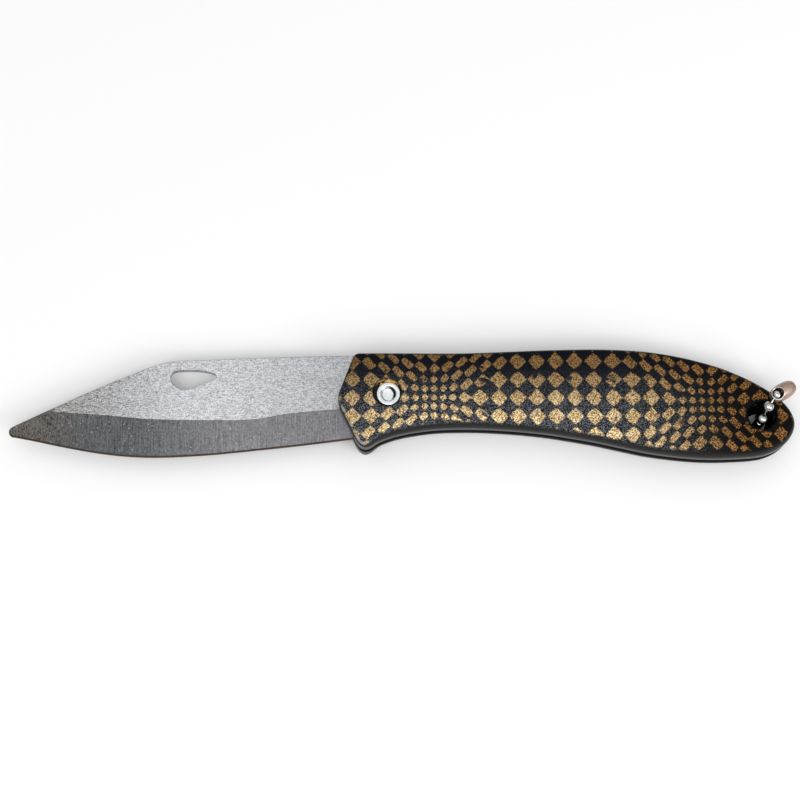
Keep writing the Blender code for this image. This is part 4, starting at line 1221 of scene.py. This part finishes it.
def make_coupling(finishes, first, last):
    """The pressed shell that the first and the last bead snap into."""
    middle = (first + last) / 2
    place = Matrix.Translation(middle) @ Matrix.Rotation(CHAIN_ANGLE + COUPLING_TURN, 4, "Z")
    near = -(last - first).length / 2
    past = COUPLING_RADIUS + OVERRUN
    inner_length = COUPLING_LENGTH - 2 * COUPLING_WALL
    cutters = [egg_mesh("coupling_inside", inner_length, COUPLING_RADIUS - COUPLING_WALL)]
    mouth = bore_profile(COUPLING_MOUTH_RADIUS, 0, past)
    cutters.append(turned_mesh("coupling_mouth", mouth, (near, 0, 0), FINE_SEGMENTS))
    half = COUPLING_SLOT_HALF_WIDTH
    for name, middle_x, heading, low, high, bottom, top in (
        ("coupling_near_slot", near, -COUPLING_TURN, -COUPLING_LENGTH, half, -COUPLING_SLOT_DROP, past),
        ("coupling_far_slot", -near, 0, -half, COUPLING_LENGTH, -past, 0),
    ):
        corners = ((low, -half), (high, -half), (high, half), (low, half))
        slot = ring_mesh(name, [[(x, y, z) for x, y in corners] for z in (bottom, top)])
        slot.transform(Matrix.Translation((middle_x, 0, 0)) @ Matrix.Rotation(heading, 4, "Z"))
        cutters.append(slot)
    shell = carved(egg_mesh("coupling_shell", COUPLING_LENGTH, COUPLING_RADIUS), cutters)
    shell.transform(place)
    brushed = [finishes["coupling"]]
    piece("coupling_shell", shell, "chain", brushed, ["chain_coupling"], CHAIN_SHARP_DEGREES)
    lip = []
    for cosine, sine in circle(FINE_SEGMENTS):
        x = near + COUPLING_MOUTH_RADIUS * cosine
        y = COUPLING_MOUTH_RADIUS * sine
        rise = egg_radius(x, COUPLING_LENGTH, COUPLING_RADIUS) ** 2 - y * y
        lip.append(Vector((x, y, sqrt(max(rise, 0)))))
    ring = tube_mesh("coupling_mouth_lip", lip, COUPLING_LIP_RADIUS)
    ring.transform(place)
    piece("coupling_mouth_lip", ring, "chain", [finishes["chain"]])


# Stage


def make_camera():
    """The camera, fitted to the photograph."""
    right = Vector((1, 0, 0))
    up = Vector((0, sin(VIEW_HEIGHT), cos(VIEW_HEIGHT)))
    back = Vector((0, -cos(VIEW_HEIGHT), sin(VIEW_HEIGHT)))
    centre = PIVOT + Vector((0, 0, FRONT_FACE))
    centre += right * (FRAME_WIDTH / 2 - PIVOT_PIXEL[0]) * PIXEL
    centre += up * (PIVOT_PIXEL[1] - FRAME_WIDTH / 2) * PIXEL
    data = bpy.data.cameras.new("camera")
    data.sensor_width = SENSOR
    data.lens = SENSOR * VIEW_DISTANCE / (FRAME_WIDTH * PIXEL)
    data.clip_start = CLIP_START
    bpy.context.scene.camera = new_object(data, centre + back * VIEW_DISTANCE, back)


def make_stage():
    """The floor, the studio's light and the softboxes."""
    paper = new_finish("pale_paper", Base_Color=(*PAPER_TONE, 1.0), Roughness=PAPER_ROUGHNESS)[0]
    corners = [(x * FLOOR_REACH, y * FLOOR_REACH, 0) for x, y in ((-1, -1), (1, -1), (1, 1), (-1, 1))]
    floor = bpy.data.meshes.new("floor")
    floor.from_pydata(corners, [], [(0, 1, 2, 3)])
    floor.materials.append(paper)
    new_object(floor)
    world = bpy.data.worlds.new("studio")
    world.use_nodes = True
    tree = world.node_tree
    height = split(tree, add(tree, "ShaderNodeTexCoord")["Generated"])[2]
    background = tree.nodes["Background"].inputs
    background["Color"].default_value = (1.0, 1.0, 1.0, 1.0)
    tree.links.new(ranged(tree, height, *SKY_HEIGHTS, *SKY_STRENGTHS), background["Strength"])
    bpy.context.scene.world = world
    for name, place, size, power in SOFTBOXES:
        light = bpy.data.lights.new(name, "AREA")
        light.shape = "RECTANGLE"
        light.size, light.size_y = size
        light.energy = power
        new_object(light, place, Vector(place))
    bpy.context.scene.view_settings.view_transform = "Standard"


# The knife


def main():
    """Makes everything, and dresses the solids that stay."""
    grain = make_grain_group()
    strokes = make_strokes_group()
    check = make_check_group()
    finishes = {
        "front_print": make_printed_plastic(grain, check, "front_printed_plastic", FRONT_FACE, 1.0),
        "back_print": make_printed_plastic(grain, check, "back_printed_plastic", 0.0, -1.0),
        "flat_steel": make_flat_steel(strokes, grain),
        "ground_steel": make_ground_steel(strokes, grain),
        "keen_steel": make_keen_steel(strokes),
        "rivet": make_rivet_plate(grain),
    }
    for key, (name, colour, dark, roughness) in PLAIN_METALS.items():
        finishes[key] = make_metal(name, grain, colour, dark, roughness)
    make_camera()
    make_stage()
    make_handle(finishes)
    make_pivot(finishes)
    make_blade(finishes)
    make_chain(finishes)
    for finish, nodes in SOLIDS_SHOWN.items():
        for node in nodes:
            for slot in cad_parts[node].material_slots:
                slot.material = finishes[finish]


main()
